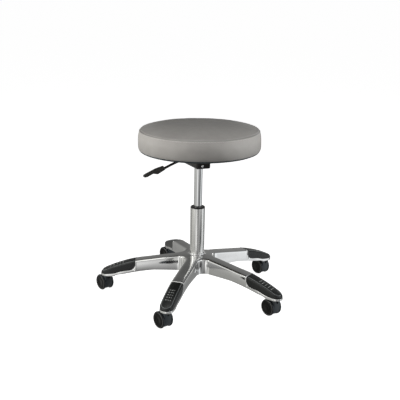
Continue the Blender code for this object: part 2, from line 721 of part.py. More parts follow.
def build_housing(mech):
    """Open-topped box with every edge rounded except its rim, and its bolt."""
    shape = flared_block(0.0, HOUSING_BOTTOM, PLATE_UNDER)
    rim_z = PLATE_UNDER * MM - 1e-6
    soft = [edge for edge in shape.edges if not all(vert.co.z > rim_z for vert in edge.verts)]
    bmesh.ops.bevel(shape, geom=soft, offset=HOUSING_ROUND * MM, segments=3, profile=0.5,
                    affect="EDGES")
    name = "mechanism_housing"
    housing = place(name, to_mesh(name, shape), BLACK_STEEL, mech)

    floor = HOUSING_BOTTOM + HOUSING_WALL
    name = "housing_cavity"
    cavity = flared_block(HOUSING_WALL, floor, floor + CAVITY_HEIGHT)
    boolean(housing, place(name, to_mesh(name, cavity), None, mech))
    drill(housing, "housing_socket_hole", SOCKET_R + GAP, 12, mech, steps=28,
          location=(0, 0, HOUSING_BOTTOM))
    # the slot cuts the -Y wall, which stands this far out beside the swivel axis
    side_y = HOUSING_W / 2 + HOUSING_FLARE * HOUSING_FRONT / (HOUSING_FRONT + HOUSING_BACK)
    boolean(housing, box("housing_lever_slot", LEVER_SLOT, (0, -side_y + 1.2, LEVER_SLOT_Z),
                         None, mech))
    drill(housing, "housing_bolt_hole", BOLT_HOLE_R, 12, mech, steps=16,
          location=(HOUSING_FRONT - 1, BOLT_Y, BOLT_Z), rotation=(0, 90, 0))
    shank_r = BOLT_HOLE_R - GAP
    turned("housing_bolt",
           [(0, 3.1), (3.4, 3.1), (4.6, 2.3), (4.6, GAP), (shank_r, GAP), (shank_r, -11.0),
            (0, -11.0)],
           ZINC, mech, steps=16, location=(HOUSING_FRONT, BOLT_Y, BOLT_Z), rotation=(0, 90, 0))


def build_socket(mech):
    """Socket over the cylinder's top, with two ears that hold the lever's pivot pin."""
    socket = turned("taper_socket",
                    [(0, SOCKET_TOP), (SOCKET_R - 0.8, SOCKET_TOP), (SOCKET_R, SOCKET_TOP - 0.8),
                     (SOCKET_R, HOUSING_BOTTOM), (0, HOUSING_BOTTOM)],
                    ZINC, mech, steps=28)
    for letter, side in (("a", -1), ("b", 1)):
        ear = box("socket_ear_" + letter, EAR_SIZE, (side * EAR_X, EAR_Y, EAR_Z), None, mech)
        boolean(socket, ear, "UNION")
    drill(socket, "socket_bore", CYL_R + GAP, 40, mech, steps=28, location=(0, 0, 467.0))
    pivot = dict(location=(0, -PIVOT_S, PIVOT_Z), rotation=(0, 90, 0))
    drill(socket, "socket_pin_hole", PIVOT_PIN_R + GAP, 40, mech, steps=16, **pivot)
    rod("lever_pivot_pin", PIVOT_PIN_R, PIVOT_PIN_LENGTH, ZINC, mech, steps=16, **pivot)


def build_lever(lift_axis):
    """The lever in its own vertical plane: +X outwards along LEVER_DEG, origin on the pivot."""
    lever_axis = empty("lever_axis", lift_axis, (*polar(PIVOT_S, LEVER_DEG), PIVOT_Z), LEVER_DEG)
    path = [(reach - PIVOT_S, 0.0, z - PIVOT_Z) for reach, z in LEVER_PATH]
    mesh = curve_mesh("lever_rod", path, "3D", False, bevel_depth=ROD_R * MM,
                      bevel_resolution=2, use_fill_caps=True)
    lever = place("lever_rod", mesh, BLACK_STEEL, lever_axis)
    barrel = rod("lever_barrel", BARREL_R, BARREL_LENGTH, None, lever_axis, steps=20,
                 rotation=(90, 0, 0))
    boolean(lever, barrel, "UNION")
    drill(lever, "lever_barrel_bore", PIVOT_PIN_R + GAP, 30.0, lever_axis, steps=16,
          rotation=(90, 0, 0))

    outline = [(reach - PIVOT_S, z - PIVOT_Z) for reach, z in HANDLE_OUTLINE]
    handle = plate_outline("lever_handle", outline, HANDLE_HALF, PLASTIC, lever_axis,
                           rotation=(90, 0, 0))
    bevel(handle, width=2.0, segments=2, angle_limit=40)
    # the bore follows the last straight of the rod
    (x_near, _, z_near), (x_end, _, z_end) = path[-2:]
    grade = (z_end - z_near) / (x_end - x_near)
    slope = math.atan(grade)
    bore_start, bore_end = HANDLE_BORE
    middle = (bore_start + bore_end) / 2 - PIVOT_S
    drill(handle, "handle_bore", ROD_R + GAP, (bore_end - bore_start) / math.cos(slope),
          lever_axis, steps=16, location=(middle, 0.0, z_near + grade * (middle - x_near)),
          rotation=(0, 90 - math.degrees(slope), 0))


# ---- seat ------------------------------------------------------------------------------
def build_seat_mount(mech):
    """Steel plate and plywood board, held together by four screws from below."""
    plate_z = PLATE_TOP - PLATE_T / 2
    plate = box("mounting_plate", (PLATE_SIDE, PLATE_SIDE, PLATE_T), (0, 0, plate_z),
                BLACK_STEEL, mech)
    board = turned("seat_board",
                   [(0, BOARD_TOP), (BOARD_R - 1.5, BOARD_TOP), (BOARD_R, BOARD_TOP - 1.5),
                    (BOARD_R, BOARD_BOTTOM + 4.0), (BOARD_R - 4.0, BOARD_BOTTOM),
                    (0, BOARD_BOTTOM)],
                   PLYWOOD, mech, steps=32)
    # screw profile: (radius, height above the top face of its head)
    screw = [(0, 12.0), (1.6, 12.0), (SCREW_R, 10.0), (SCREW_R, 0.0), (6.0, 0.0), (6.0, -1.6),
             (4.6, -3.2), (0, -3.2)]
    corners = [(x, y) for x in (-1, 1) for y in (-1, 1)]
    for n, (x, y) in enumerate(corners, start=1):
        x, y = x * SCREW_PITCH / 2, y * SCREW_PITCH / 2
        drill(plate, "plate_hole_%d" % n, SCREW_R + GAP, 12, mech, steps=16,
              location=(x, y, plate_z))
        drill(board, "board_hole_%d" % n, SCREW_R + GAP, 20, mech, steps=16,
              location=(x, y, BOARD_BOTTOM))
        turned("seat_screw_%d" % n, [(radius, PLATE_UNDER + z) for radius, z in screw], ZINC,
               mech, steps=16, location=(x, y, 0))


def crown(radius):
    """Height of the cushion's top: flat in the middle, rounding down to the seam."""
    part = max(0.0, (radius - SEAT_FLAT_R) / (SEAT_SEAM_R - SEAT_FLAT_R))
    return SEAT_TOP - (SEAT_TOP - SEAT_SEAM_Z) * (0.75 * part ** 2 + 0.25 * part ** 6)


def inset_profile(points, depth):
    """The same profile moved inwards; points on the axis stay on it."""
    moved = []
    for i, (radius, z) in enumerate(points):
        before = Vector(points[max(i - 1, 0)])
        after = Vector(points[min(i + 1, len(points) - 1)])
        along = (after - before).normalized()
        new_radius = max(0.0, radius + along.y * depth) if radius else 0.0
        moved.append((new_radius, z - along.x * depth))
    return moved


def build_cushion(seat_axis):
    """Cover, the foam inside it, and the cloth ring underneath."""
    tops = [(radius, crown(radius)) for radius in (0.0, SEAT_FLAT_R, 120.0, 172.0, 191.0)]
    side = [(SEAT_SEAM_R, SEAT_SEAM_Z), (SEAT_WIDE_R - 0.6, 566.0), (SEAT_WIDE_R, SEAT_WIDE_Z),
            (SEAT_WIDE_R, 530.0), (201.6, 518.8), (193.0, SEAT_BOTTOM)]
    inside = inset_profile(tops + side, COVER_T)
    inside[0] = (0.0, SEAT_TOP - COVER_T)
    inside[-1] = (COVER_CORNER_R, SEAT_BOTTOM + COVER_T)
    lip = [(SEAT_LIP_R, SEAT_BOTTOM), (SEAT_LIP_R, SEAT_BOTTOM + COVER_T)]
    turned("seat_cover", tops + side + lip + inside[::-1], VINYL, seat_axis, steps=36)

    foam = inset_profile(tops + side[:-2], COVER_T + GAP)
    foam[0] = (0.0, SEAT_TOP - COVER_T - GAP)
    foam = [point for point in foam if point[1] > FOAM_BOTTOM + 1.0]
    turned("seat_foam", foam + [(FOAM_BOTTOM_R, FOAM_BOTTOM), (0, FOAM_BOTTOM)], FOAM,
           seat_axis, steps=36)
    cloth_top = SEAT_BOTTOM - GAP
    turned("dust_cover",
           ring(DUST_COVER_R_IN, DUST_COVER_R_OUT, cloth_top - DUST_COVER_T, cloth_top),
           CLOTH, seat_axis, steps=32, loop=True)


# ---- assembly: each axis carries what turns or rises with it ---------------------------
root = empty("stool_axis", location=(AXIS_X, AXIS_Y, 0))
build_base(root)
build_column(root)
spindle_axis = empty("spindle_axis", root)
build_spindle(spindle_axis)
lift_axis = empty("lift_axis", spindle_axis)
build_gas_cylinder(lift_axis)
mech = empty("mechanism_frame", lift_axis, turn_z=MECH_DEG)
build_housing(mech)
build_socket(mech)
build_lever(lift_axis)
build_seat_mount(mech)
build_cushion(empty("seat_axis", lift_axis))

bpy.context.view_layer.update()
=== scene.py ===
# A height-adjustable round stool: a cast five-arm base with foot pads and twin-wheel casters, a
# gas column, a housing with a bent lever, and a padded seat. The floor is z = 0, the swivel axis
# is vertical through (AXIS_X, AXIS_Y) and the camera stands on the -Y side. Lengths in tables
# and profiles are millimetres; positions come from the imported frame, in metres.
import json
import math

import bmesh
import bpy
import numpy as np
from mathutils import Matrix, Vector, noise


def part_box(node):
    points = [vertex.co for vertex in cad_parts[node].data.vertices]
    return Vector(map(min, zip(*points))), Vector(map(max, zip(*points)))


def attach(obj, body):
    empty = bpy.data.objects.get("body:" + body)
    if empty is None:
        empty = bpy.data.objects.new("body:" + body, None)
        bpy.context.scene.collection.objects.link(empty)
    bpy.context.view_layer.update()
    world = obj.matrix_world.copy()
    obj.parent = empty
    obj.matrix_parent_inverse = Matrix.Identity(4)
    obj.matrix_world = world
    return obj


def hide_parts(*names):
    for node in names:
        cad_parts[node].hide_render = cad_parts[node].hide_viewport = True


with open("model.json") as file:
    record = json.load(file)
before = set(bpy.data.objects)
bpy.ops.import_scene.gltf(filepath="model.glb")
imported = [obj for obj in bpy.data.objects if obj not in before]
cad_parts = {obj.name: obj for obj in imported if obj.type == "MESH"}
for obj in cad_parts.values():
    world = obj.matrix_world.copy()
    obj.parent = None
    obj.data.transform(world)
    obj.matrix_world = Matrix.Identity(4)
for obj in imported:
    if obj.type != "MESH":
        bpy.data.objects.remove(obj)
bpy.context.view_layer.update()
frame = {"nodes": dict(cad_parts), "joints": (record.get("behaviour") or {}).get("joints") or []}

scene = bpy.context.scene
MM = 0.001
GAP = 0.3                                    # clearance between neighbouring parts


# ---- positions, all from the frame -----------------------------------------------------
def middle(node):
    low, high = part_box(node)
    return (low + high) / 2


def z_range(node):
    low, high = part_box(node)
    return low.z / MM, high.z / MM


def half_width(node):
    low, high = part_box(node)
    return (high.x - low.x) / 2 / MM


AXIS_X, AXIS_Y = middle("column_tube").xy
SEAT_BOTTOM, SEAT_TOP = z_range("seat_cover")
SEAT_R = half_width("seat_cover")
first_stem = middle("caster_stem_1")
STEM_CIRCLE = math.hypot(first_stem.x - AXIS_X, first_stem.y - AXIS_Y) / MM
FIRST_ARM = math.atan2(first_stem.y - AXIS_Y, first_stem.x - AXIS_X)
PIVOT = Vector(next(j for j in frame["joints"] if j["name"] == "lever_pull")["pos_m"])
LEVER_ANGLE = math.atan2(PIVOT.y - AXIS_Y, PIVOT.x - AXIS_X)
PIVOT_OUT = math.hypot(PIVOT.x - AXIS_X, PIVOT.y - AXIS_Y) / MM
PIVOT_Z = PIVOT.z / MM
SECTOR = 2 * math.pi / 5


def shift(x, y, z):
    """Translation in mm."""
    return Matrix.Translation((x * MM, y * MM, z * MM))


def turn(axis, angle=math.pi / 2):
    return Matrix.Rotation(angle, 4, axis)


def axis_frame(angle=0.0):
    """Frame on the swivel axis at floor level, turned by angle."""
    return Matrix.Translation((AXIS_X, AXIS_Y, 0)) @ turn("Z", angle)


# ---- shader nodes ----------------------------------------------------------------------
class Nodes:
    """Adds nodes to a shader tree. Inputs take a socket, a value or an (r, g, b) colour."""

    def __init__(self, tree):
        tree.nodes.clear()
        self.tree = tree

    def feed(self, socket, value):
        if isinstance(value, bpy.types.NodeSocket):
            self.tree.links.new(value, socket)
        elif isinstance(value, tuple) and socket.type == "RGBA":
            socket.default_value = (*value, 1.0)
        else:
            socket.default_value = value

    def set(self, node, **inputs):
        for name, value in inputs.items():
            self.feed(node.inputs[name.replace("_", " ")], value)
        return node

    def add(self, kind, **inputs):
        return self.set(self.tree.nodes.new(kind), **inputs)

    def math(self, operation, first, second=0.0):
        node = self.add("ShaderNodeMath")
        node.operation = operation
        for socket, value in zip(node.inputs, (first, second, 0.0)):
            self.feed(socket, value)
        return node.outputs[0]

    def hypot(self, a, b):
        squares = self.math("ADD", self.math("MULTIPLY", a, a), self.math("MULTIPLY", b, b))
        return self.math("SQRT", squares)

    def ramp(self, value, stops):
        """Colour ramp; stops are (position, colour)."""
        node = self.add("ShaderNodeValToRGB")
        self.feed(node.inputs["Fac"], value)
        elements = node.color_ramp.elements
        while len(elements) > 1:
            elements.remove(elements[-1])
        elements[0].position = stops[0][0]
        elements[0].color = (*stops[0][1], 1.0)
        for position, colour in stops[1:]:
            elements.new(position).color = (*colour, 1.0)
        return node.outputs["Color"]

    def remap(self, value, to, of=(0.0, 1.0)):
        """Maps the range `of` onto the range `to`, held at its ends."""
        node = self.add("ShaderNodeMapRange", Value=value, From_Min=of[0], From_Max=of[1],
                        To_Min=to[0], To_Max=to[1])
        return node.outputs["Result"]

    def mix(self, factor, a, b, blend="MIX"):
        node = self.add("ShaderNodeMix")
        node.data_type = "RGBA"
        node.blend_type = blend
        for index, value in ((0, factor), (6, a), (7, b)):   # factor, colour A, colour B
            self.feed(node.inputs[index], value)
        return node.outputs[2]


class Surface(Nodes):
    """A Principled material textured in object coordinates."""

    def __init__(self, name):
        self.material = bpy.data.materials.new(name)
        self.material.use_nodes = True
        super().__init__(self.material.node_tree)
        output = self.add("ShaderNodeOutputMaterial")
        self.bsdf = self.add("ShaderNodeBsdfPrincipled")
        self.feed(output.inputs[0], self.bsdf.outputs[0])
        self.coord = self.add("ShaderNodeTexCoord").outputs["Object"]

    def noise(self, scale=1.0, detail=4.0, rough=0.55, stretch=None, distortion=0.0):
        vector = self.coord
        if stretch:
            vector = self.add("ShaderNodeMapping", Scale=stretch, Vector=vector).outputs[0]
        return self.add("ShaderNodeTexNoise", Vector=vector, Scale=scale, Detail=detail,
                        Roughness=rough, Distortion=distortion).outputs["Fac"]

    def voronoi(self, scale, smooth=False):
        node = self.add("ShaderNodeTexVoronoi", Vector=self.coord, Scale=scale)
        if smooth:
            node.feature = "SMOOTH_F1"
            node.inputs["Smoothness"].default_value = 0.6
        return node.outputs["Distance"]

    def wave(self, scale, axis):
        node = self.add("ShaderNodeTexWave", Vector=self.coord, Scale=scale, Distortion=0.0,
                        Detail=1.0, Detail_Scale=1.0)
        node.bands_direction = axis
        return node.outputs["Fac"]

    def finish(self, bumps, **inputs):
        """Sets the Principled inputs and chains bumps of (height, depth in mm, strength)."""
        self.set(self.bsdf, **inputs)
        normal = None
        for height, depth, strength in bumps:
            bump = self.add("ShaderNodeBump", Strength=strength, Distance=depth * MM,
                            Height=height)
            if normal is not None:
                self.feed(bump.inputs["Normal"], normal)
            normal = bump.outputs["Normal"]
        self.feed(self.bsdf.inputs["Normal"], normal)
        return self.material


MIDDLE = (0.3, 0.7)                          # the span most noise values fall in

# ---- materials -------------------------------------------------------------------------
SEAM_R, SEAM_Z = 198.3, 584.1                # sewn edge between the seat's top and its side


def vinyl():
    s = Surface("vinyl_warm_grey")
    pebble = s.voronoi(scale=950, smooth=True)
    fine = s.noise(scale=2600, detail=2.0)
    soft = s.noise(scale=14, detail=3.0)
    cloudy = s.noise(scale=55)
    tone = s.mix(s.remap(soft, to=(0.0, 1.0), of=MIDDLE), (0.262, 0.252, 0.238),
                 (0.300, 0.290, 0.274))
    tone = s.mix(s.remap(pebble, to=(0.0, 0.16), of=(0.0, 0.7)), tone, (0.13, 0.125, 0.118))
    # painted shade: a dark line along the seam groove, made stronger where the surface is seen edge
    # on
    place = s.add("ShaderNodeSeparateXYZ", Vector=s.coord).outputs
    radius = s.hypot(s.math("SUBTRACT", place[0], AXIS_X), s.math("SUBTRACT", place[1], AXIS_Y))
    from_seam = s.hypot(s.math("SUBTRACT", radius, SEAM_R * MM),
                        s.math("SUBTRACT", place[2], SEAM_Z * MM))
    seam_shade = s.remap(from_seam, to=(0.55, 0.0), of=(0.9 * MM, 2.8 * MM))
    facing = s.add("ShaderNodeLayerWeight", Blend=0.5).outputs["Facing"]
    seam_shade = s.math("MULTIPLY", seam_shade, s.remap(facing, to=(0.85, 1.9), of=(0.3, 0.9)))
    tone = s.mix(seam_shade, tone, (0.045, 0.043, 0.040))
    # painted shade: the side darkens toward its lower edge, with an uneven border
    uneven = s.math("MULTIPLY", s.math("SUBTRACT", soft, 0.5), 0.012)
    low = s.remap(s.math("ADD", place[2], uneven), to=(0.44, 0.0), of=(514 * MM, 562 * MM))
    tone = s.mix(low, tone, (0.07, 0.067, 0.063))
    return s.finish([(cloudy, 0.25, 0.35), (pebble, 0.09, 0.55), (fine, 0.03, 0.35)],
                    Base_Color=tone, Roughness=s.remap(cloudy, to=(0.36, 0.5), of=MIDDLE),
                    Specular_IOR_Level=0.5, Sheen_Weight=0.05, Coat_Weight=0.12,
                    Coat_Roughness=0.3)


# a dark band over the cover's lower edge where the side turns under: painted shade
def painted_edge_shade():
    s = Surface("painted_shade_underturn_band")
    weave = s.wave(scale=420, axis="DIAGONAL")
    fuzz = s.noise(scale=900, detail=3.0)
    return s.finish([(weave, 0.08, 0.6), (fuzz, 0.04, 0.4)],
                    Base_Color=s.mix(fuzz, (0.008, 0.014, 0.016), (0.022, 0.034, 0.037)),
                    Roughness=s.remap(fuzz, to=(0.6, 0.8)))


def thread():
    s = Surface("grey_thread")
    twist = s.wave(scale=900, axis="DIAGONAL")
    return s.finish([(twist, 0.05, 0.6)],
                    Base_Color=s.mix(twist, (0.30, 0.29, 0.275), (0.56, 0.545, 0.52)),
                    Roughness=s.remap(twist, to=(0.5, 0.7)), Sheen_Weight=0.3)


def polished_cast():
    s = Surface("polished_cast_aluminium")
    wavy = s.noise(scale=38, detail=2.0)
    skin = s.noise(scale=420, detail=5.0, rough=0.6)
    tint = s.mix(s.remap(wavy, to=(0.0, 1.0), of=MIDDLE), (0.87, 0.87, 0.86),
                 (0.92, 0.92, 0.915))
    spots = s.remap(s.noise(scale=160, detail=5.0, rough=0.65), to=(0.0, 0.04), of=(0.55, 0.8))
    rough = s.math("ADD", s.remap(skin, to=(0.07, 0.11), of=MIDDLE), spots)
    return s.finish([(wavy, 0.06, 0.2), (skin, 0.003, 0.25)],
                    Base_Color=tint, Metallic=1.0, Roughness=rough)


def raw_cast():
    s = Surface("unpolished_cast_aluminium")
    pits = s.voronoi(scale=520)
    skin = s.noise(scale=260, detail=6.0, rough=0.65)
    return s.finish([(skin, 0.10, 0.5), (pits, 0.05, 0.4)],
                    Base_Color=s.mix(skin, (0.42, 0.42, 0.415), (0.56, 0.56, 0.55)),
                    Metallic=1.0, Roughness=s.remap(skin, to=(0.42, 0.58), of=MIDDLE))


def satin_tube():
    s = Surface("satin_tube_steel")
    streaks = s.noise(detail=5.0, rough=0.6, stretch=(1500, 1500, 6))
    cloud = s.noise(scale=30, detail=3.0)
    return s.finish([(streaks, 0.0015, 0.3), (cloud, 0.03, 0.1)],
                    Base_Color=s.mix(cloud, (0.76, 0.755, 0.735), (0.84, 0.84, 0.83)),
                    Metallic=1.0, Roughness=s.remap(streaks, to=(0.15, 0.23), of=MIDDLE))


def chrome():
    s = Surface("chromed_steel")
    streaks = s.noise(detail=5.0, rough=0.6, stretch=(1800, 1800, 9))
    haze = s.noise(scale=45)
    return s.finish([(streaks, 0.0006, 0.3)],
                    Base_Color=s.mix(haze, (0.86, 0.87, 0.875), (0.92, 0.925, 0.93)),
                    Metallic=1.0, Roughness=s.remap(haze, to=(0.05, 0.10), of=MIDDLE))


def black_enamel():
    s = Surface("black_enamelled_steel")
    peel = s.noise(scale=520, detail=3.0)
    cloud = s.noise(scale=45)
    return s.finish([(peel, 0.06, 0.5)],
                    Base_Color=s.mix(cloud, (0.004, 0.0038, 0.0035), (0.010, 0.009, 0.0075)),
                    Roughness=s.remap(cloud, to=(0.22, 0.36), of=MIDDLE),
                    Specular_IOR_Level=0.36)


def zinc():
    s = Surface("zinc_plated_steel")
    spangle = s.voronoi(scale=260)
    grain = s.noise(scale=600)
    tone = s.mix(s.remap(spangle, to=(0, 1), of=(0.0, 0.9)), (0.50, 0.50, 0.48),
                 (0.66, 0.665, 0.66))
    return s.finish([(grain, 0.01, 0.4)], Base_Color=tone, Metallic=1.0,
                    Roughness=s.remap(grain, to=(0.26, 0.42), of=MIDDLE))


def plywood():
    s = Surface("birch_plywood")
    grain = s.noise(detail=7.0, rough=0.6, stretch=(18, 320, 60), distortion=0.8)
    plies = s.wave(scale=105, axis="Z")
    pores = s.noise(detail=3.0, rough=0.7, stretch=(240, 2400, 300))
    wood = s.ramp(grain, [(0.25, (0.40, 0.27, 0.15)), (0.5, (0.55, 0.40, 0.24)),
                          (0.75, (0.66, 0.51, 0.33))])
    wood = s.mix(s.remap(plies, to=(0.0, 0.35), of=(0.6, 0.9)), wood, (0.24, 0.15, 0.08))
    return s.finish([(pores, 0.08, 0.5), (grain, 0.08, 0.3)],
                    Base_Color=wood, Roughness=s.remap(grain, to=(0.6, 0.8)))


def nonwoven():
    s = Surface("nonwoven_dust_cloth")
    dots = s.voronoi(scale=520)
    fibre = s.noise(detail=6.0, rough=0.7, stretch=(900, 500, 900))
    return s.finish([(dots, 0.12, 0.7), (fibre, 0.06, 0.5)],
                    Base_Color=s.mix(fibre, (0.014, 0.014, 0.015), (0.05, 0.05, 0.052)),
                    Roughness=s.remap(dots, to=(0.75, 0.92)), Sheen_Weight=0.25)


def foam():
    s = Surface("open_cell_foam")
    cells = s.voronoi(scale=1200)
    cloud = s.noise(scale=30)
    return s.finish([(cells, 0.2, 0.8)],
                    Base_Color=s.mix(cloud, (0.62, 0.55, 0.38), (0.72, 0.66, 0.50)),
                    Roughness=s.remap(cells, to=(0.8, 0.95)))


def plastic(name, dark, light, rough, grain, depth, coat=0.0, specular=0.5):
    """Moulded surface; rough is a range, grain a noise scale, depth the grain's in mm."""
    s = Surface(name)
    texture = s.noise(scale=grain, rough=0.6)
    cloud = s.noise(scale=60, detail=3.0)
    scuff = s.remap(s.noise(detail=5.0, rough=0.7, stretch=(90, 380, 240)),
                    to=(0.0, 0.06), of=(0.58, 0.72))
    return s.finish([(texture, depth, 0.5), (cloud, 0.05, 0.2)],
                    Base_Color=s.mix(cloud, dark, light), Specular_IOR_Level=specular,
                    Roughness=s.math("ADD", s.remap(texture, to=rough, of=MIDDLE), scuff),
                    Coat_Weight=coat, Coat_Roughness=0.06)


FINISH = {
    "vinyl": vinyl(), "underturn_shade": painted_edge_shade(), "thread": thread(), "cast": polished_cast(),
    "raw": raw_cast(), "tube": satin_tube(), "chrome": chrome(), "enamel": black_enamel(),
    "zinc": zinc(), "plywood": plywood(), "cloth": nonwoven(), "foam": foam(),
    "pad": plastic("charcoal_pad_rubber", (0.007, 0.0078, 0.0076), (0.012, 0.0128, 0.0125),
                   rough=(0.24, 0.34), grain=900, depth=0.03, specular=0.42),
    # light grey raised dashes: a painted highlight on the pad's ribs
    "rib": plastic("painted_highlight_pad_rib", (0.20, 0.206, 0.20), (0.28, 0.287, 0.28),
                   rough=(0.3, 0.42), grain=900, depth=0.03),
    # light grey band on the pad's shoulder crease: a painted highlight
    "crease": plastic("painted_highlight_pad_crease", (0.10, 0.108, 0.108), (0.15, 0.16, 0.16),
                      rough=(0.18, 0.28), grain=900, depth=0.02),
    "collar": plastic("black_acetal", (0.008, 0.008, 0.008), (0.015, 0.015, 0.016),
                      rough=(0.18, 0.30), grain=800, depth=0.02),
    "grip": plastic("black_grip_nylon", (0.014, 0.0138, 0.012), (0.028, 0.0265, 0.022),
                    rough=(0.26, 0.40), grain=700, depth=0.03),
    "disc": plastic("glossy_wheel_disc", (0.0015, 0.0015, 0.0015), (0.003, 0.003, 0.003),
                    rough=(0.07, 0.12), grain=500, depth=0.005, coat=0.12, specular=0.22),
    "ring": plastic("buffed_wheel_ring", (0.005, 0.005, 0.005), (0.012, 0.012, 0.012),
                    rough=(0.10, 0.16), grain=500, depth=0.004, coat=1.0, specular=0.9),
    "slate": plastic("slate_moulded_nylon", (0.018, 0.022, 0.025), (0.028, 0.033, 0.037),
                     rough=(0.30, 0.42), grain=800, depth=0.03, specular=0.4),
    "tread": plastic("grey_tread_rubber", (0.016, 0.019, 0.022), (0.026, 0.030, 0.034),
                     rough=(0.42, 0.55), grain=1100, depth=0.04, specular=0.35),
    "dark": plastic("dark_steel_stem", (0.010, 0.010, 0.011), (0.02, 0.02, 0.021),
                    rough=(0.28, 0.4), grain=900, depth=0.02),
}

# finish of each CAD node, by the start of its name; zinc for the rest
NODE_FINISH = {
    "caster_stem": "dark", "caster_axle": "zinc", "piston_rod": "chrome", "bumper": "pad",
    "piston_head": "zinc", "cylinder_rod_guide": "collar", "seat_board": "plywood",
    "mounting_plate": "enamel", "seat_foam": "foam", "seat_cover": "vinyl",
    "dust_cover": "cloth"}
for node_name, node_object in frame["nodes"].items():
    finish = next((f for start, f in NODE_FINISH.items() if node_name.startswith(start)), "zinc")
    node_object.data.materials.clear()
    node_object.data.materials.append(FINISH[finish])


# ---- mesh helpers ----------------------------------------------------------------------
def shade(bm, sharp):
    """Smooth faces, with edges steeper than sharp degrees kept sharp."""
    for face in bm.faces:
        face.smooth = True
    for edge in bm.edges:
        steep = len(edge.link_faces) == 2 and edge.calc_face_angle(0.0) > math.radians(sharp)
        edge.smooth = not steep


def add_object(name, mesh):
    piece = bpy.data.objects.new(name, mesh)
    scene.collection.objects.link(piece)
    return piece


def make(name, bm, finishes, body, replaces=None, sharp=38.0):
    bmesh.ops.remove_doubles(bm, verts=bm.verts, dist=1e-6)
    bmesh.ops.recalc_face_normals(bm, faces=bm.faces)
    shade(bm, sharp)
    mesh = bpy.data.meshes.new(name)
    bm.to_mesh(mesh)
    bm.free()
    for finish in finishes:
        mesh.materials.append(FINISH[finish])
    piece = add_object(name, mesh)
    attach(piece, body)
    if replaces:
        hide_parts(replaces)
    return piece


def fillet(points, steps=4, loop=False):
    """Rounds the corners of a profile. A point is (x, y) or (x, y, radius)."""
    rounded, count = [], len(points)
    for i, point in enumerate(points):
        radius = point[2] if len(point) > 2 else 0.0
        if radius <= 0 or (not loop and i in (0, count - 1)):
            rounded.append(point[:2])
            continue
        corner = Vector(point[:2])
        back = Vector(points[i - 1][:2]) - corner
        ahead = Vector(points[(i + 1) % count][:2]) - corner
        room = 0.48 * min(back.length, ahead.length)
        back.normalize()
        ahead.normalize()
        angle = back.angle(ahead)
        if angle > 3.08:                     # nearly straight
            rounded.append(point[:2])
            continue
        reach = min(radius / math.tan(angle / 2), room)
        radius = reach * math.tan(angle / 2)
        centre = corner + (back + ahead).normalized() * (radius / math.sin(angle / 2))
        start = corner + back * reach - centre
        end = corner + ahead * reach - centre
        first = math.atan2(start.y, start.x)
        sweep = (math.atan2(end.y, end.x) - first + math.pi) % (2 * math.pi) - math.pi
        for k in range(steps + 1):
            a = first + sweep * k / steps
            rounded.append((centre.x + radius * math.cos(a), centre.y + radius * math.sin(a)))
    return rounded


def bridge(bm, ring, following):
    """Joins two closed rings of vertices with quads."""
    for k in range(len(ring)):
        j = (k + 1) % len(ring)
        bm.faces.new((ring[k], ring[j], following[j], following[k]))


def skin_rings(bm, rings, caps=True):
    for ring, following in zip(rings, rings[1:]):
        bridge(bm, ring, following)
    if caps:
        bm.faces.new(rings[0][::-1])
        bm.faces.new(rings[-1])


def lathe(bm, profile, steps, matrix, loop=False, material=lambda i: 0):
    """Turns a profile (radius, height) in mm round the Z axis of matrix."""
    rings = []
    for radius, z in profile:
        if radius < 1e-6:
            rings.append([bm.verts.new(matrix @ Vector((0, 0, z * MM)))])
            continue
        angles = [2 * math.pi * k / steps for k in range(steps)]
        rings.append([bm.verts.new(matrix @ Vector((radius * MM * math.cos(a),
                                                    radius * MM * math.sin(a), z * MM)))
                      for a in angles])
    pairs = list(zip(rings, rings[1:]))
    if loop:
        pairs.append((rings[-1], rings[0]))
    for i, (a, b) in enumerate(pairs):
        if len(a) == 1 and len(b) == 1:
            continue
        for k in range(steps):
            j = (k + 1) % steps
            if len(a) == 1:
                corners = (a[0], b[k], b[j])
            elif len(b) == 1:
                corners = (a[k], b[0], a[j])
            else:
                corners = (a[k], b[k], b[j], a[j])
            bm.faces.new(corners).material_index = material(i)


def inset_outline(points, distance):
    """A closed outline, counter-clockwise, moved inwards."""
    moved, count = [], len(points)
    for i in range(count):
        before, here, after = (Vector(points[k]) for k in (i - 1, i, (i + 1) % count))
        along_in, along_out = (here - before).normalized(), (after - here).normalized()
        normal_in = Vector((-along_in.y, along_in.x))
        mitre = normal_in + Vector((-along_out.y, along_out.x))
        if mitre.length < 1e-6:
            mitre = normal_in
        mitre.normalize()
        stretch = 1.0 / max(0.5, mitre.dot(normal_in))
        moved.append((here.x + mitre.x * distance * stretch,
                      here.y + mitre.y * distance * stretch))
    return moved


def stack_outlines(bm, outline, levels, matrix):
    """A ring of vertices for each level (z, inset) of an outline."""
    return [[bm.verts.new(matrix @ Vector((x * MM, y * MM, z * MM)))
             for x, y in inset_outline(outline, inset)] for z, inset in levels]


def slab(bm, outline, half, edge, matrix, steps=4):
    """A flat outline given thickness along Z, with rounded edges of radius edge."""
    area = sum(a[0] * b[1] - b[0] * a[1] for a, b in zip([outline[-1]] + outline, outline))
    if area < 0:
        outline = outline[::-1]
    angles = [math.pi / 2 * k / steps for k in range(steps + 1)]
    levels = [(-half + edge * (1 - math.sin(a)), edge * (1 - math.cos(a))) for a in angles]
    levels = levels[::-1] + [(-z, inset) for z, inset in levels]
    skin_rings(bm, stack_outlines(bm, outline, levels, matrix))


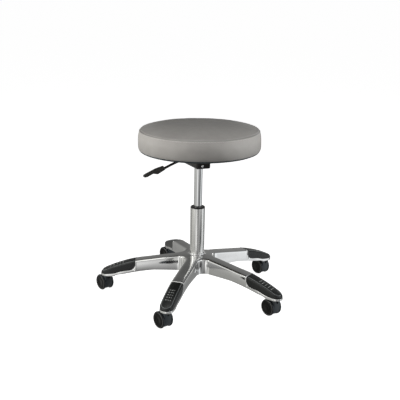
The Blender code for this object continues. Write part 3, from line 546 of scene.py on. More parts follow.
def tube(bm, path, radius, sides, side_axis):
    """A round bar along points in metres; radius is mm, or a function of the point's index."""
    rings = []
    for i, point in enumerate(path):
        along = (path[min(i + 1, len(path) - 1)] - path[max(i - 1, 0)]).normalized()
        a = along.cross(side_axis).normalized()
        b = a.cross(along)
        r = (radius(i) if callable(radius) else radius) * MM
        angles = [2 * math.pi * k / sides for k in range(sides)]
        rings.append([bm.verts.new(point + (a * math.cos(w) + b * math.sin(w)) * r)
                      for w in angles])
    skin_rings(bm, rings)


def cutter(name, bm):
    mesh = bpy.data.meshes.new(name)
    bmesh.ops.recalc_face_normals(bm, faces=bm.faces)
    bm.to_mesh(mesh)
    bm.free()
    return add_object(name, mesh)


def round_cutter(name, segments, radius, depth, matrix):
    bm = bmesh.new()
    bmesh.ops.create_cone(bm, cap_ends=True, segments=segments, radius1=radius * MM,
                          radius2=radius * MM, depth=depth * MM, matrix=matrix)
    return cutter(name, bm)


def prism_cutter(name, near, far, mirrored=False):
    """A prism between two outlines of points; mirrored reverses the winding of its faces."""
    bm = bmesh.new()
    near = [bm.verts.new(p) for p in near]
    far = [bm.verts.new(p) for p in far]
    order = -1 if mirrored else 1
    bm.faces.new(near[::order])
    bm.faces.new(far[::-order])
    for k in range(len(near)):
        quad = (near[k - 1], far[k - 1], far[k], near[k])
        bm.faces.new(quad[:1] + quad[:0:-1] if mirrored else quad)
    return cutter(name, bm)


def cut(piece, *cutters):
    """Cuts a piece with each cutter, applies the result to its mesh and removes the cutters."""
    for tool in cutters:
        modifier = piece.modifiers.new("cut", "BOOLEAN")
        modifier.operation = "DIFFERENCE"
        modifier.solver = "EXACT"
        modifier.object = tool
    bpy.context.view_layer.update()
    depsgraph = bpy.context.evaluated_depsgraph_get()
    mesh = bpy.data.meshes.new_from_object(piece.evaluated_get(depsgraph))
    piece.modifiers.clear()
    piece.data = mesh
    for tool in cutters:
        bpy.data.objects.remove(tool)
    bm = bmesh.new()
    bm.from_mesh(mesh)
    shade(bm, 32)
    bm.to_mesh(mesh)
    bm.free()


def smooth_curve(points):
    """A function through the points (x, y) that doesn't overshoot between them."""
    xs, ys = zip(*points)
    slopes = [(ys[i + 1] - ys[i]) / (xs[i + 1] - xs[i]) for i in range(len(xs) - 1)]
    tangents = [slopes[0]]
    for a, b in zip(slopes, slopes[1:]):
        tangents.append(0.0 if a * b <= 0 else 2.0 * a * b / (a + b))
    tangents.append(slopes[-1])

    def at(x):
        x = min(max(x, xs[0]), xs[-1])
        i = max(k for k in range(len(xs) - 1) if xs[k] <= x)
        span = xs[i + 1] - xs[i]
        t = (x - xs[i]) / span
        return (ys[i] * (1 + 2 * t) * (1 - t) ** 2 + ys[i + 1] * t * t * (3 - 2 * t)
                + tangents[i] * span * t * (1 - t) ** 2
                - tangents[i + 1] * span * t * t * (1 - t))
    return at


def catmull(points, per_span):
    """A Catmull-Rom curve through 3D points."""
    pts = [Vector(p) for p in points]
    pts = [pts[0] * 2 - pts[1]] + pts + [pts[-1] * 2 - pts[-2]]
    curve = []
    for a, b, c, d in zip(pts, pts[1:], pts[2:], pts[3:]):
        for k in range(per_span):
            t = k / per_span
            curve.append(0.5 * ((2 * b) + (c - a) * t + (2 * a - 5 * b + 4 * c - d) * t * t
                                + (3 * b - a - 3 * c + d) * t ** 3))
    curve.append(pts[-2])
    return curve


def patch(bm, points, material=0):
    """A face through points in mm, without its repeated corners; none if under three remain."""
    corners = []
    for p in points:
        if not any(math.dist(p, other) < 1e-6 for other in corners):
            corners.append(p)
    if len(corners) >= 3:
        face = bm.faces.new([bm.verts.new([c * MM for c in p]) for p in corners])
        face.material_index = material


def mirror_y(bm):
    """Adds the mirror image across y = 0 and welds the two halves."""
    made = bmesh.ops.duplicate(bm, geom=bm.verts[:] + bm.edges[:] + bm.faces[:])["geom"]
    bmesh.ops.scale(bm, vec=(1, -1, 1), verts=[g for g in made if isinstance(g, bmesh.types.BMVert)])
    bmesh.ops.reverse_faces(bm, faces=[g for g in made if isinstance(g, bmesh.types.BMFace)])
    bmesh.ops.remove_doubles(bm, verts=bm.verts, dist=2e-6)


# ---- base casting ----------------------------------------------------------------------
# One arm lies along X; half of it is built and mirrored. A station is a place along the arm's
# edge: ("web", angle) in the curve between two arms, ("arm", x) or ("tip", angle).
ARM_HALF, WEB_R, HUB_R, CAST_WALL = 22.0, 28.0, 30.0, 4.0
PAD_START, PAD_THICK = 215.0, 3.0
TUBE_R = half_width("column_tube")
RIM_Z, HUB_TOP = z_range("base_casting")
SOCKET_BOTTOM = 80.0
# heights by distance from the axis: top of the arm, its lower rim, lower edge of the pad
crest = smooth_curve([(26, 147.0), (90, 139.2), (160, 128.6), (216, 120.0), (280, 101.0),
                      (315, 86.5), (338, 76.0)])
keel = smooth_curve([(50, 89.5), (145, 89.0), (183, 85.0), (217, 79.0), (262, 69.8),
                     (280, 67.0), (294, RIM_Z), (340, RIM_Z)])
pad_hem = smooth_curve([(215, 104.0), (221, 92.5), (232, 85.5), (262, 80.5), (290, 72.0),
                        (316, 69.0), (338, 67.5)])
HALF_SECTOR = SECTOR / 2
WEB_CENTRE = (ARM_HALF + WEB_R) / math.sin(HALF_SECTOR)
ARM_START = WEB_CENTRE * math.cos(HALF_SECTOR)
WEB_STEPS, TIP_STEPS, HUB_RINGS, ARM_STEPS = 14, 12, 8, 16
# rounding of the upper edge: (inset from the side, drop below the crest)
EDGE = [(0.0, 6.2), (0.22, 5.2), (0.75, 4.2), (1.5, 3.2), (2.6, 2.25), (4.2, 1.35),
        (6.2, 0.72), (8.4, 0.32), (11.0, 0.1)]
PAD_EDGE = [(0.0, 6.2), (0.2, 5.4), (0.8, 4.6), (1.9, 3.6), (3.4, 2.3), (4.2, 1.55),
            (4.55, 1.12), (4.9, 0.82), (5.3, 0.66), (5.8, 0.68), (6.4, 0.84), (7.2, 0.82),
            (9.0, 0.5), (11.0, 0.1)]
EDGE_INSET = EDGE[-1][0]
# bead before the pad's recess: (x from PAD_START, inset of the outer skin)
BEAD = [(-5.0, 0.0), (-3.4, 0.0), (-2.9, -0.25), (-2.2, -0.6), (-1.3, -0.7), (-0.6, -0.45),
        (-0.15, 0.1), (0.0, 0.7)]
ALONG_PAD = (218, 222, 228, 236, 244, 252, 260, 268, 276, 284, 290)
TIP_STATIONS = [("tip", math.pi / 2 * (1 - i / TIP_STEPS)) for i in range(1, TIP_STEPS + 1)]


def station_point(station, inset):
    kind, value = station
    if kind == "arm":
        return (value, ARM_HALF - inset)
    if kind == "web":
        r = WEB_R + inset
        return (ARM_START + r * math.cos(value),
                WEB_CENTRE * math.sin(HALF_SECTOR) + r * math.sin(value))
    r = ARM_HALF - inset
    return (STEM_CIRCLE + r * math.cos(value), r * math.sin(value))


def spine_x(station):
    """Where a station's section meets the arm's middle line."""
    return station[1] if station[0] == "arm" else STEM_CIRCLE


def section_point(station, inset, height):
    """A point (x, y, z) whose z is a function of its distance from the axis."""
    x, y = station_point(station, inset)
    return (x, y, height(math.hypot(x, y)))


def outer_rows(station, step):
    """Outside of the casting from the rim to near the spine; step is the pad's recess."""
    pad_corner = math.hypot(PAD_START, ARM_HALF)
    share = ((pad_hem(pad_corner) - GAP - keel(pad_corner))
             / (crest(pad_corner) - keel(pad_corner)))

    def ledge(r):
        return pad_hem(r) - GAP if step > 0 else keel(r) + share * (crest(r) - keel(r))
    # under a pad the rim swells out a little and is rounded over where it meets the pad's hem
    swell = 0.0
    if step > 0:
        along = station[1] - PAD_START if station[0] == "arm" else 100.0
        swell = min(1.0, max(0.0, (along - 4.0) / 40.0))
    bulge, lean = 0.9 * swell, 0.5 * swell
    side_r = math.hypot(*station_point(station, 0.0))
    rows = [(*station_point(station, inset - bulge), keel(side_r) + rise)
            for inset, rise in ((1.1, 0.0), (0.35, 0.3 + 0.5 * swell), (0.0, 1.1 + 1.3 * swell))]
    tall = min(1.4, 0.4 * (ledge(side_r) - rows[-1][2])) * swell
    for inset, drop in ((0.0, 1.0), (0.12, 0.5), (0.42, 0.14), (0.9, 0.0)):
        rows.append(section_point(station, inset * swell - bulge,
                                  lambda r: ledge(r) - drop * tall))
    rows.append(section_point(station, lean, ledge))
    rows.append((*station_point(station, step), rows[-1][2]))
    for inset, drop in EDGE:
        rows.append(section_point(station, min(inset + step, EDGE_INSET),
                                  lambda r: crest(r) - drop - step))
    return rows


def under_rows(station, step, solid):
    """Underside from the rim's inner edge; a solid section is closed level with the rim."""
    wall = CAST_WALL + step

    def ceiling(r):
        return keel(r) if solid else crest(r) - CAST_WALL - 1.0 - step
    return [section_point(station, wall, keel), section_point(station, wall + 0.8, ceiling),
            section_point(station, EDGE_INSET, ceiling)]


def casting():
    bm = bmesh.new()

    def skin(row, following, flip=False, raw=99):
        """Faces between two rows; those from index raw on are unpolished."""
        for k in range(len(row) - 1):
            corners = (row[k], row[k + 1], following[k + 1], following[k])
            patch(bm, corners[::-1] if flip else corners, 1 if k >= raw else 0)

    recess = PAD_THICK + GAP
    bead_start = PAD_START - 9.0
    cavity_end = STEM_CIRCLE - 19.0
    # columns of (station, step of the outer skin, step of the underside, solid)
    first, last = math.pi + HALF_SECTOR, 1.5 * math.pi
    columns = [(("web", first + (last - first) * i / WEB_STEPS), 0.0, 0.0, False)
               for i in range(WEB_STEPS)]
    columns += [(("arm", ARM_START + (bead_start - ARM_START) * i / ARM_STEPS), 0.0, 0.0, False)
                for i in range(ARM_STEPS)]
    columns.append((("arm", bead_start), 0.0, 0.0, False))
    columns += [(("arm", PAD_START + x), inset, recess, False) for x, inset in BEAD]
    columns += [(("arm", x), recess, recess, False) for x in (PAD_START, *ALONG_PAD, cavity_end)]
    columns += [(("arm", x), recess, recess, True) for x in (cavity_end, 302.0, 308.0, STEM_CIRCLE)]
    columns += [(station, recess, recess, True) for station in TIP_STATIONS]
    top = [outer_rows(station, step) for station, step, _, _ in columns]
    low = [[rows[0]] + under_rows(station, step, solid)
           for rows, (station, _, step, solid) in zip(top, columns)]
    for i in range(len(columns) - 1):
        skin(top[i], top[i + 1])
        skin(low[i], low[i + 1], flip=True, raw=1)

    def spine(i, under):
        station, outer_step, under_step, solid = columns[i]
        x = spine_x(station)
        if not under:
            return (x, 0.0, crest(x) - outer_step)
        return (x, 0.0, keel(x) if solid else crest(x) - CAST_WALL - 1.0 - under_step)
    for i in range(WEB_STEPS, len(columns) - 1):
        patch(bm, (top[i][-1], spine(i, False), spine(i + 1, False), top[i + 1][-1]))
        patch(bm, (low[i + 1][-1], spine(i + 1, True), spine(i, True), low[i][-1]), 1)

    bore = TUBE_R + GAP
    # hub profile (radius, height): up outside, over the lip, down the bore, out underneath
    hub = [(HUB_R + 3.4, crest(HUB_R + 3.4) + 0.1), (HUB_R + 1.6, crest(HUB_R) + 0.35),
           (HUB_R, crest(HUB_R) + 0.9), (28.6, 148.2), (27.8, 149.6), (27.3, 150.8),
           (26.9, 151.5), (26.3, 151.95), (bore + 0.5, HUB_TOP), (bore, HUB_TOP - 0.5),
           (bore, SOCKET_BOTTOM), (28.8, SOCKET_BOTTOM), (HUB_R, crest(HUB_R) - CAST_WALL - 1.0)]

    def hub_column(i):
        angle = HALF_SECTOR * (1 - i / (WEB_STEPS + 1))
        points = [(r * math.cos(angle), r * math.sin(angle), z) for r, z in hub]
        if i <= WEB_STEPS:
            above, below = top[i][-1], low[i][-1]
        else:
            above, below = spine(WEB_STEPS, False), spine(WEB_STEPS, True)
        first, last = points[0], points[-1]
        up, down = [], []
        for k in range(1, HUB_RINGS):
            t = k / HUB_RINGS
            x, y = above[0] + (first[0] - above[0]) * t, above[1] + (first[1] - above[1]) * t
            up.append((x, y, crest(math.hypot(x, y)) - 0.1 * (1 - t)))
            x, y = last[0] + (below[0] - last[0]) * t, last[1] + (below[1] - last[1]) * t
            down.append((x, y, crest(math.hypot(x, y)) - CAST_WALL - 1.0))
        return [above] + up + points + down + [below]
    hub_columns = [hub_column(i) for i in range(WEB_STEPS + 2)]
    for column, following in zip(hub_columns, hub_columns[1:]):
        skin(column, following, raw=HUB_RINGS + len(hub) - 2)

    mirror_y(bm)
    arm = bm.verts[:] + bm.edges[:] + bm.faces[:]
    for k in range(1, 5):
        made = bmesh.ops.duplicate(bm, geom=arm)["geom"]
        bmesh.ops.rotate(bm, cent=(0, 0, 0), matrix=Matrix.Rotation(SECTOR * k, 3, "Z"),
                         verts=[g for g in made if isinstance(g, bmesh.types.BMVert)])
    bmesh.ops.remove_doubles(bm, verts=bm.verts, dist=2e-6)
    bmesh.ops.dissolve_degenerate(bm, dist=1e-7, edges=bm.edges)
    bm.transform(axis_frame(FIRST_ARM))
    return bm


make("cast_five_arm_base", casting(), ["cast", "raw"], "base", "base_casting",
     sharp=42)

# ---- foot pads -------------------------------------------------------------------------
DASH_WIDTH, DASH_HEIGHT = 3.0, 1.2
DASH_X = (258.0, 268.5, 279.5, 290.5, 301.5)
DASH_Y_LENGTH = ((-7.6, 6.2), (0.4, 6.2), (7.2, 2.8))


def dash(bm, x, y, z, slope, length):
    """A low raised dash on a pad: half an ellipsoid, long across the arm."""
    def squared(value):
        return math.copysign(abs(value) ** 0.8, value)
    rings = []
    for k in range(4):
        tilt = math.pi / 2 * k / 4
        ring = []
        for j in range(16):
            a = 2 * math.pi * j / 16
            dx = squared(math.cos(a)) * DASH_WIDTH / 2 * math.cos(tilt)
            dy = squared(math.sin(a)) * length / 2 * math.cos(tilt)
            height = z - 0.25 + math.sin(tilt) * DASH_HEIGHT + slope * dx
            ring.append(bm.verts.new(((x + dx) * MM, (y + dy) * MM, height * MM)))
        rings.append(ring)
    peak = bm.verts.new((x * MM, y * MM, (z + DASH_HEIGHT) * MM))
    faces_before = len(bm.faces)
    skin_rings(bm, rings, caps=False)
    for j in range(16):
        bm.faces.new((rings[-1][j], rings[-1][(j + 1) % 16], peak))
    # the dashes take the light grey rib finish, a painted highlight
    for face in list(bm.faces)[faces_before:]:
        face.material_index = 1


def pad():
    """A shell over the end of one arm, open at the bottom."""
    bm = bmesh.new()
    xs = (PAD_START + GAP, PAD_START + 0.8, *ALONG_PAD, 296, 302, 308, STEM_CIRCLE)
    stations = [("arm", x) for x in xs] + TIP_STATIONS

    def rows(i, station, depth):
        # the outer skin is drawn in at the end nearest the hub
        sink = depth + (0.5 if i == 0 and depth == 0.0 else 0.0)
        hem_z = pad_hem(math.hypot(*station_point(station, 0.0)))
        points = [(*station_point(station, depth), hem_z)]
        for inset, drop in PAD_EDGE:
            points.append(section_point(station, min(inset + sink, EDGE_INSET),
                                        lambda r: crest(r) - drop - sink))
        x = spine_x(station)
        points.append((x, 0.0, crest(x) - sink))
        return points
    outer = [rows(i, station, 0.0) for i, station in enumerate(stations)]
    inner = [rows(i, station, PAD_THICK) for i, station in enumerate(stations)]
    spans = len(PAD_EDGE) + 1
    for i in range(len(stations) - 1):
        out_a, out_b, in_a, in_b = outer[i], outer[i + 1], inner[i], inner[i + 1]
        for k in range(spans):
            # faces along the shoulder crease take the light crease finish, a painted highlight
            patch(bm, (out_a[k], out_a[k + 1], out_b[k + 1], out_b[k]), 2 if 6 <= k <= 9 else 0)
            patch(bm, (in_b[k], in_b[k + 1], in_a[k + 1], in_a[k]))
        patch(bm, (in_a[0], out_a[0], out_b[0], in_b[0]))
    for k in range(spans):
        patch(bm, (outer[0][k + 1], outer[0][k], inner[0][k], inner[0][k + 1]))
    mirror_y(bm)
    bmesh.ops.recalc_face_normals(bm, faces=bm.faces)
    for x in DASH_X:
        slope = (crest(x + 1) - crest(x - 1)) / 2
        for y, length in DASH_Y_LENGTH:
            dash(bm, x, y, crest(math.hypot(x, y)), slope, length)
    return bm


for n in range(1, 6):
    pad_bm = pad()
    pad_bm.transform(axis_frame(FIRST_ARM + SECTOR * (n - 1)))
    make("moulded_foot_pad_%d" % n, pad_bm, ["pad", "rib", "crease"], "base",
         "foot_pad_%d" % n, sharp=60)

# ---- casters ---------------------------------------------------------------------------
wheel_bottom, wheel_top = z_range("caster_wheel_left_1")
WHEEL_R = (wheel_top - wheel_bottom) / 2
HOOD_HALF, CASTER_HALF, AXLE_R, STEM_R = 13.5, 21.5, 3.0, 5.5


def wheel(side, n, axle_frame, angle):
    inner, outer = HOOD_HALF + GAP, CASTER_HALF
    profile = fillet([
        (0, outer - 1.1), (7.6, outer - 1.1, 0.4), (8.2, outer - 0.5, 0.4),
        (10.0, outer - 0.35), (15.0, outer - 0.1), (WHEEL_R - 6.8, outer, 0.6),
        (WHEEL_R - 6.0, outer - 1.2, 0.4), (WHEEL_R - 5.0, outer - 1.2, 0.4),
        (WHEEL_R - 4.2, outer - 0.1, 0.7), (WHEEL_R - 2.6, outer - 0.6, 1.8),
        (WHEEL_R - 0.8, outer - 2.6, 1.6), (WHEEL_R, outer - 4.4, 1.2),
        (WHEEL_R, inner + 0.6, 0.5), (WHEEL_R - 0.7, inner, 0.3), (AXLE_R + GAP, inner),
        (AXLE_R + GAP, outer - 1.8), (0, outer - 1.8)], 3)
    tread_first = [i for i, p in enumerate(profile) if p[0] > WHEEL_R - 1.1][0]
    tread_last = [i for i, p in enumerate(profile) if p[0] > 20][-1]
    ridge = [i for i, p in enumerate(profile)
             if WHEEL_R - 4.9 < p[0] < WHEEL_R - 1.6 and p[1] > outer - 1.9]

    def material(i):
        if tread_first <= i < tread_last:
            return 1
        return 2 if ridge[0] <= i < ridge[-1] else 0
    bm = bmesh.new()
    lathe(bm, profile, 72, axle_frame @ turn("Y", angle), material=material)
    make("twin_wheel_%s_%d" % (side, n), bm, ["disc", "tread", "ring"],
         "wheel_%s_%d" % (side, n), "caster_wheel_%s_%d" % (side, n), sharp=50)


def hood(n, base, axle_frame, trail):
    """Body between the wheels, a plate across the axle with a socket for the stem."""
    arc_r = WHEEL_R - 0.8

    def arc(start, end, steps):
        angles = [math.radians(start + (end - start) * i / steps) for i in range(steps + 1)]
        return [(trail + arc_r * math.cos(a), WHEEL_R + arc_r * math.sin(a)) for a in angles]
    neck = fillet([(-7.4, 30.0), (-8.6, 38.0, 6.0), (-8.6, 57.0, 2.2), (7.0, 57.0, 3.0),
                   (16.0, 53.6)], 5)[1:-1]
    bm = bmesh.new()
    slab(bm, arc(219, 182, 14) + neck + arc(78, -28, 26), HOOD_HALF, 1.5,
         base @ turn("Z") @ turn("X"))
    body = make("swivel_hood_%d" % n, bm, ["slate", "collar"], "caster_%d" % n,
                "caster_hood_%d" % n, sharp=40)
    # notch in the face away from the axle, beside the stem: (x, z)
    notch = fillet([(-7.6, 60.0), (-6.9, 55.5, 3.0), (-2.2, 46.2, 2.2), (2.2, 46.2, 2.2),
                    (6.9, 55.5, 3.0), (7.6, 60.0)])
    stem_cut = round_cutter("cut_stem_%d" % n, 40, STEM_R + GAP, 40, base @ shift(0, 0, 50.2))
    axle_cut = round_cutter("cut_axle_%d" % n, 24, AXLE_R + GAP, 60, axle_frame @ turn("Y"))
    ends = [[base @ Vector((x * MM, y, z * MM)) for x, z in notch] for y in (-0.014, -0.0005)]
    cut(body, stem_cut, axle_cut, prism_cutter("cut_notch_%d" % n, *ends))
    to_local = base.inverted()
    for face in body.data.polygons:          # painted shade: the notch and socket mouth get the black collar finish
        c = to_local @ face.center
        if -0.0082 < c.y < 0.0055 and c.z > 0.0455 and abs(c.x) < 0.0076:
            face.material_index = 1


for n in range(1, 6):
    stem, axle = middle("caster_stem_%d" % n), middle("caster_axle_%d" % n)
    trail = math.hypot(axle.x - stem.x, axle.y - stem.y) / MM
    heading = math.atan2(axle.y - stem.y, axle.x - stem.x)
    # local frame under the stem: X along the axle, Y from stem to axle, Z up
    base = Matrix.Translation((stem.x, stem.y, 0)) @ turn("Z", heading - math.pi / 2)
    axle_frame = base @ shift(0, trail, axle.z / MM)
    wheel("right", n, axle_frame, math.pi / 2)
    wheel("left", n, axle_frame, -math.pi / 2)
    hood(n, base, axle_frame, trail)

# ---- column ----------------------------------------------------------------------------
CYLINDER_R = half_width("gas_cylinder")
HOUSING_BOTTOM, HOUSING_TOP = z_range("mechanism_housing")
TUBE_BOTTOM, TUBE_TOP = z_range("column_tube")


def column_tube():
    bore = TUBE_R - 2.0
    floor_hole = 4.3
    bm = bmesh.new()
    lathe(bm, fillet([(bore, TUBE_TOP), (TUBE_R, TUBE_TOP, 0.5), (TUBE_R, 170.0),
                      (TUBE_R, TUBE_BOTTOM, 0.5), (floor_hole, TUBE_BOTTOM),
                      (floor_hole, TUBE_BOTTOM + 3.0), (bore, TUBE_BOTTOM + 3.0)], 3, loop=True),
          128, axis_frame(), loop=True)
    make("satin_column_tube", bm, ["tube"], "base", "column_tube")


def guide_collar():
    bottom, top = z_range("guide_bushing")
    bore = CYLINDER_R + GAP
    bm = bmesh.new()
    lathe(bm, fillet([(bore, top - 0.7, 0.3), (CYLINDER_R + 0.9, top, 0.3),
                      (CYLINDER_R + 2.6, top, 0.4), (CYLINDER_R + 3.1, top - 0.7, 0.3),
                      (TUBE_R - 2.4, top - 0.7, 0.8), (TUBE_R - 0.3, top - 2.0, 1.0),
                      (TUBE_R, TUBE_TOP + GAP, 0.2), (TUBE_R - 2.3, TUBE_TOP + GAP),
                      (TUBE_R - 2.3, bottom), (bore, bottom)], 3, loop=True),
          96, axis_frame(), loop=True)
    make("black_guide_collar", bm, ["collar"], "base", "guide_bushing")


def gas_cylinder():
    bottom, top = z_range("gas_cylinder")
    bore = CYLINDER_R - 1.5
    pin_hole, pin_hole_bottom, bore_top = 3.3, 458.0, 441.0
    profile = fillet([(pin_hole, top), (12.4, top, 0.4), (13.2, top - 0.8, 0.6),
                      (CYLINDER_R, HOUSING_BOTTOM), (CYLINDER_R, bottom, 0.4), (bore, bottom),
                      (bore, 436.0), (9.0, bore_top), (0, bore_top)], 3)
    profile += [(0, pin_hole_bottom), (pin_hole, pin_hole_bottom), (pin_hole, top)]
    bm = bmesh.new()
    lathe(bm, profile, 96, axis_frame())
    make("chromed_gas_cylinder", bm, ["chrome"], "seat", "gas_cylinder")


column_tube()
guide_collar()
gas_cylinder()

# ---- housing ---------------------------------------------------------------------------
# Local frame: +X toward the narrow end, -Y toward the lever.
mechanism = axis_frame(LEVER_ANGLE + math.pi / 2)
FRONT, BACK, FRONT_HALF, FLARE, WALL = 50.0, 66.0, 24.0, 13.0, 2.5
BOTTOM_ROUND, CORNER_R = 5.0, 6.5
BOLT_Y = -5.0


def housing():
    """An open-topped tray, wider at the back."""
    plan = fillet([(FRONT, -FRONT_HALF, CORNER_R), (FRONT, FRONT_HALF, CORNER_R),
                   (-BACK, FRONT_HALF + FLARE, CORNER_R), (-BACK, -FRONT_HALF - FLARE, CORNER_R)],
                  6, loop=True)
    angles = [math.pi / 2 * k / 5 for k in range(5, -1, -1)]
    levels = [(HOUSING_BOTTOM + BOTTOM_ROUND * (1 - math.sin(a)),
               BOTTOM_ROUND * (1 - math.cos(a))) for a in angles]
    levels += [(HOUSING_TOP - 0.6, 0.0), (HOUSING_TOP, 0.5), (HOUSING_TOP, WALL),
               (HOUSING_BOTTOM + WALL + 2.0, WALL), (HOUSING_BOTTOM + WALL, WALL + 2.0)]
    bm = bmesh.new()
    skin_rings(bm, stack_outlines(bm, plan, levels, mechanism))
    shell = make("pressed_mechanism_housing", bm, ["enamel"], "seat",
                 "mechanism_housing")
    socket = round_cutter("cut_socket", 64, 17.5, 12, mechanism @ shift(0, 0, HOUSING_BOTTOM))
    side_y = FRONT_HALF + FLARE * FRONT / (FRONT + BACK)
    outline = fillet([(-4.9, -6.2, 1.5), (4.9, -6.2, 1.5), (4.9, 6.2, 1.5), (-4.9, 6.2, 1.5)],
                     3, loop=True)
    place = mechanism @ shift(0, -side_y + 1.2, 493.2) @ turn("X")
    ends = [[place @ Vector((x * MM, y * MM, z * MM)) for x, y in outline] for z in (-5.0, 5.0)]
    slot = prism_cutter("cut_slot", *ends, mirrored=True)
    bolt_hole = round_cutter("cut_bolt", 24, 3, 12,
                             mechanism @ shift(FRONT - 1, BOLT_Y, 470) @ turn("Y"))
    cut(shell, socket, slot, bolt_hole)


def housing_bolt():
    bm = bmesh.new()
    lathe(bm, fillet([(0, 1.6), (1.5, 1.6, 0.1), (1.7, 3.0, 0.2), (3.0, 2.8, 0.5),
                      (4.2, 2.0, 0.9), (4.6, 1.2, 0.3), (4.6, GAP), (2.7, GAP), (2.7, -11.0),
                      (0, -11.0)], 3), 40,
          mechanism @ shift(FRONT, BOLT_Y, middle("housing_bolt").z / MM) @ turn("Y"))
    make("housing_button_bolt", bm, ["chrome"], "seat", "housing_bolt")


housing()
housing_bolt()

# ---- lever -----------------------------------------------------------------------------
# Local frame: origin on the pivot, X outwards, Z up. Tables are (distance from axis, height).
lever_frame = Matrix.Translation(PIVOT) @ turn("Z", LEVER_ANGLE)
ROD_PATH = [(-3.2, 496.6), (13.0, 494.0), (40.0, 488.5), (66.0, 481.2), (87.0, 474.0),
            (121.0, 459.0), (137.0, 451.8)]
HANDLE = [(118.0, 455.6, 1.2), (125.0, 467.6, 2.0), (150.0, 460.6, 8.0), (157.0, 457.8, 8.0),
          (182.0, 446.4, 10.0), (192.0, 441.4, 5.0), (195.2, 437.8, 3.0), (192.6, 434.0, 3.0),
          (187.0, 432.6, 6.0), (180.0, 434.0, 8.0), (160.5, 443.6, 3.0), (145.0, 440.6, 3.0)]
RIB_START, RIB_PITCH, RIB_LEAN = 126.5, 4.2, 3.4


def lever_rod():
    bm = bmesh.new()
    path = [((out - PIVOT_OUT) * MM, 0.0, (z - PIVOT_Z) * MM) for out, z in ROD_PATH]
    tube(bm, catmull(path, 8), lambda i: 3.5 + 0.7 * min(1.0, max(0.0, (i - 17) / 4)), 24,
         Vector((0, 1, 0)))
    # eye round the pivot
    lathe(bm, fillet([(2.3, 6.0), (5.0, 6.0, 0.4), (5.0, -6.0, 0.4), (2.3, -6.0)], 3, loop=True),
          32, turn("X"), loop=True)
    bm.transform(lever_frame)
    make("bent_lever_rod", bm, ["enamel"], "lever", "lever_rod")


def lever_handle():
    bm = bmesh.new()
    slab(bm, [(out - PIVOT_OUT, z - PIVOT_Z) for out, z in fillet(HANDLE, 5, loop=True)],
         6.0, 2.6, turn("X"), steps=5)
    # slanting ribs on both faces of the inner part
    for y in (-0.0058, 0.0058):
        for k in range(6):
            out = RIB_START + RIB_PITCH * k
            top = 466.0 - 0.28 * (out - 125.0) - 3.0
            bottom = 455.0 - 0.52 * (out - 118.0) + 2.6
            upper = Vector(((out + RIB_LEAN - PIVOT_OUT) * MM, y, (top - PIVOT_Z) * MM))
            lower = Vector(((out - RIB_LEAN - PIVOT_OUT) * MM, y, (bottom - PIVOT_Z) * MM))
            tube(bm, [upper.lerp(lower, t / 6) for t in range(7)],
                 lambda i: 0.9 * math.sin(math.pi * min(max(i / 6, 0.12), 0.88)), 8,
                 Vector((0, 1, 0)))
    bm.transform(lever_frame)
    make("moulded_lever_handle", bm, ["grip"], "lever", "lever_handle", sharp=45)


lever_rod()
lever_handle()

# ---- seat cover ------------------------------------------------------------------------
FIRMNESS = 1.9                               # how far the stuffed side stands proud
TOP_RINGS = 32                               # rings of the top panel
# the rest of the rings are evenly spaced; these lie this far in from the seam
SEAM_RINGS = (17.8, 12.8, 8.6, 5.2, 2.4, 0)
LIP_RADII = (183.0, 176.0, 168.0, 159.0, 150.0)


def crown(r):
    """Height of the top panel."""
    t = max(0.0, (r - 40.0) / (SEAM_R - 40.0))
    return SEAT_TOP - (SEAT_TOP - SEAM_Z) * (0.75 * t ** 2 + 0.25 * t ** 6)


even_rings = TOP_RINGS - len(SEAM_RINGS) + 1
TOP_RADII = [(SEAM_R - SEAM_RINGS[0]) * i / even_rings for i in range(even_rings)]
TOP_RADII += [SEAM_R - inward for inward in SEAM_RINGS]

# profile of the side, seam to lower edge: (radius, 0, z)
side_curve = catmull([(SEAM_R, 0, SEAM_Z), (201.4, 0, 573.0), (SEAT_R - 0.2, 0, 560.0),
                      (SEAT_R, 0, 546.0), (SEAT_R, 0, 531.0), (201.8, 0, 520.4),
                      (198.4, 0, 514.8), (191.6, 0, SEAT_BOTTOM)], 12)
side_lengths = [0.0]
for a, b in zip(side_curve, side_curve[1:]):
    side_lengths.append(side_lengths[-1] + (b - a).length)
SIDE_LENGTH = side_lengths[-1]


def side_point(distance):
    """Radius and height of the side's profile at a distance down from the seam."""
    distance = min(max(distance, 0.0), SIDE_LENGTH)
    i = max(k for k in range(len(side_lengths) - 1) if side_lengths[k] <= distance)
    t = (distance - side_lengths[i]) / max(1e-9, side_lengths[i + 1] - side_lengths[i])
    p = side_curve[i].lerp(side_curve[i + 1], t)
    return p.x, p.z


def side_bulge(distance):
    return math.sin(math.pi * min(1.0, distance / SIDE_LENGTH))


side_rows = [2.2, 4.8, 8.2, 12.4]
while side_rows[-1] < SIDE_LENGTH - 5.0:
    side_rows.append(side_rows[-1] + 4.6)
side_rows.append(SIDE_LENGTH)


def slack_rows():
    """(radius, height, pin weight) of each ring, middle to lip, before the stuffing swells."""
    rows = []
    for r in TOP_RADII:
        rows.append((r, crown(r) - 6.0 * (1 - (r / SEAM_R) ** 2), 1.0 if r == SEAM_R else 0.0))
    for d in side_rows:
        r, z = side_point(d)
        rows.append((r - 3.4 * side_bulge(d) ** 0.8, z, 0.0 if d < SIDE_LENGTH - 6.0 else 1.0))
    return rows + [(r, SEAT_BOTTOM, 1.0) for r in LIP_RADII]


def stuffed_rows():
    """(radius, height) of each ring once stuffed."""
    rows = [(r, crown(r) + (FIRMNESS * 0.4 if r < SEAM_R else 0.0)) for r in TOP_RADII]
    for d in side_rows:
        r, z = side_point(d)
        rows.append((r + FIRMNESS * side_bulge(d) ** 0.7, z))
    return rows + [(r, SEAT_BOTTOM) for r in LIP_RADII]


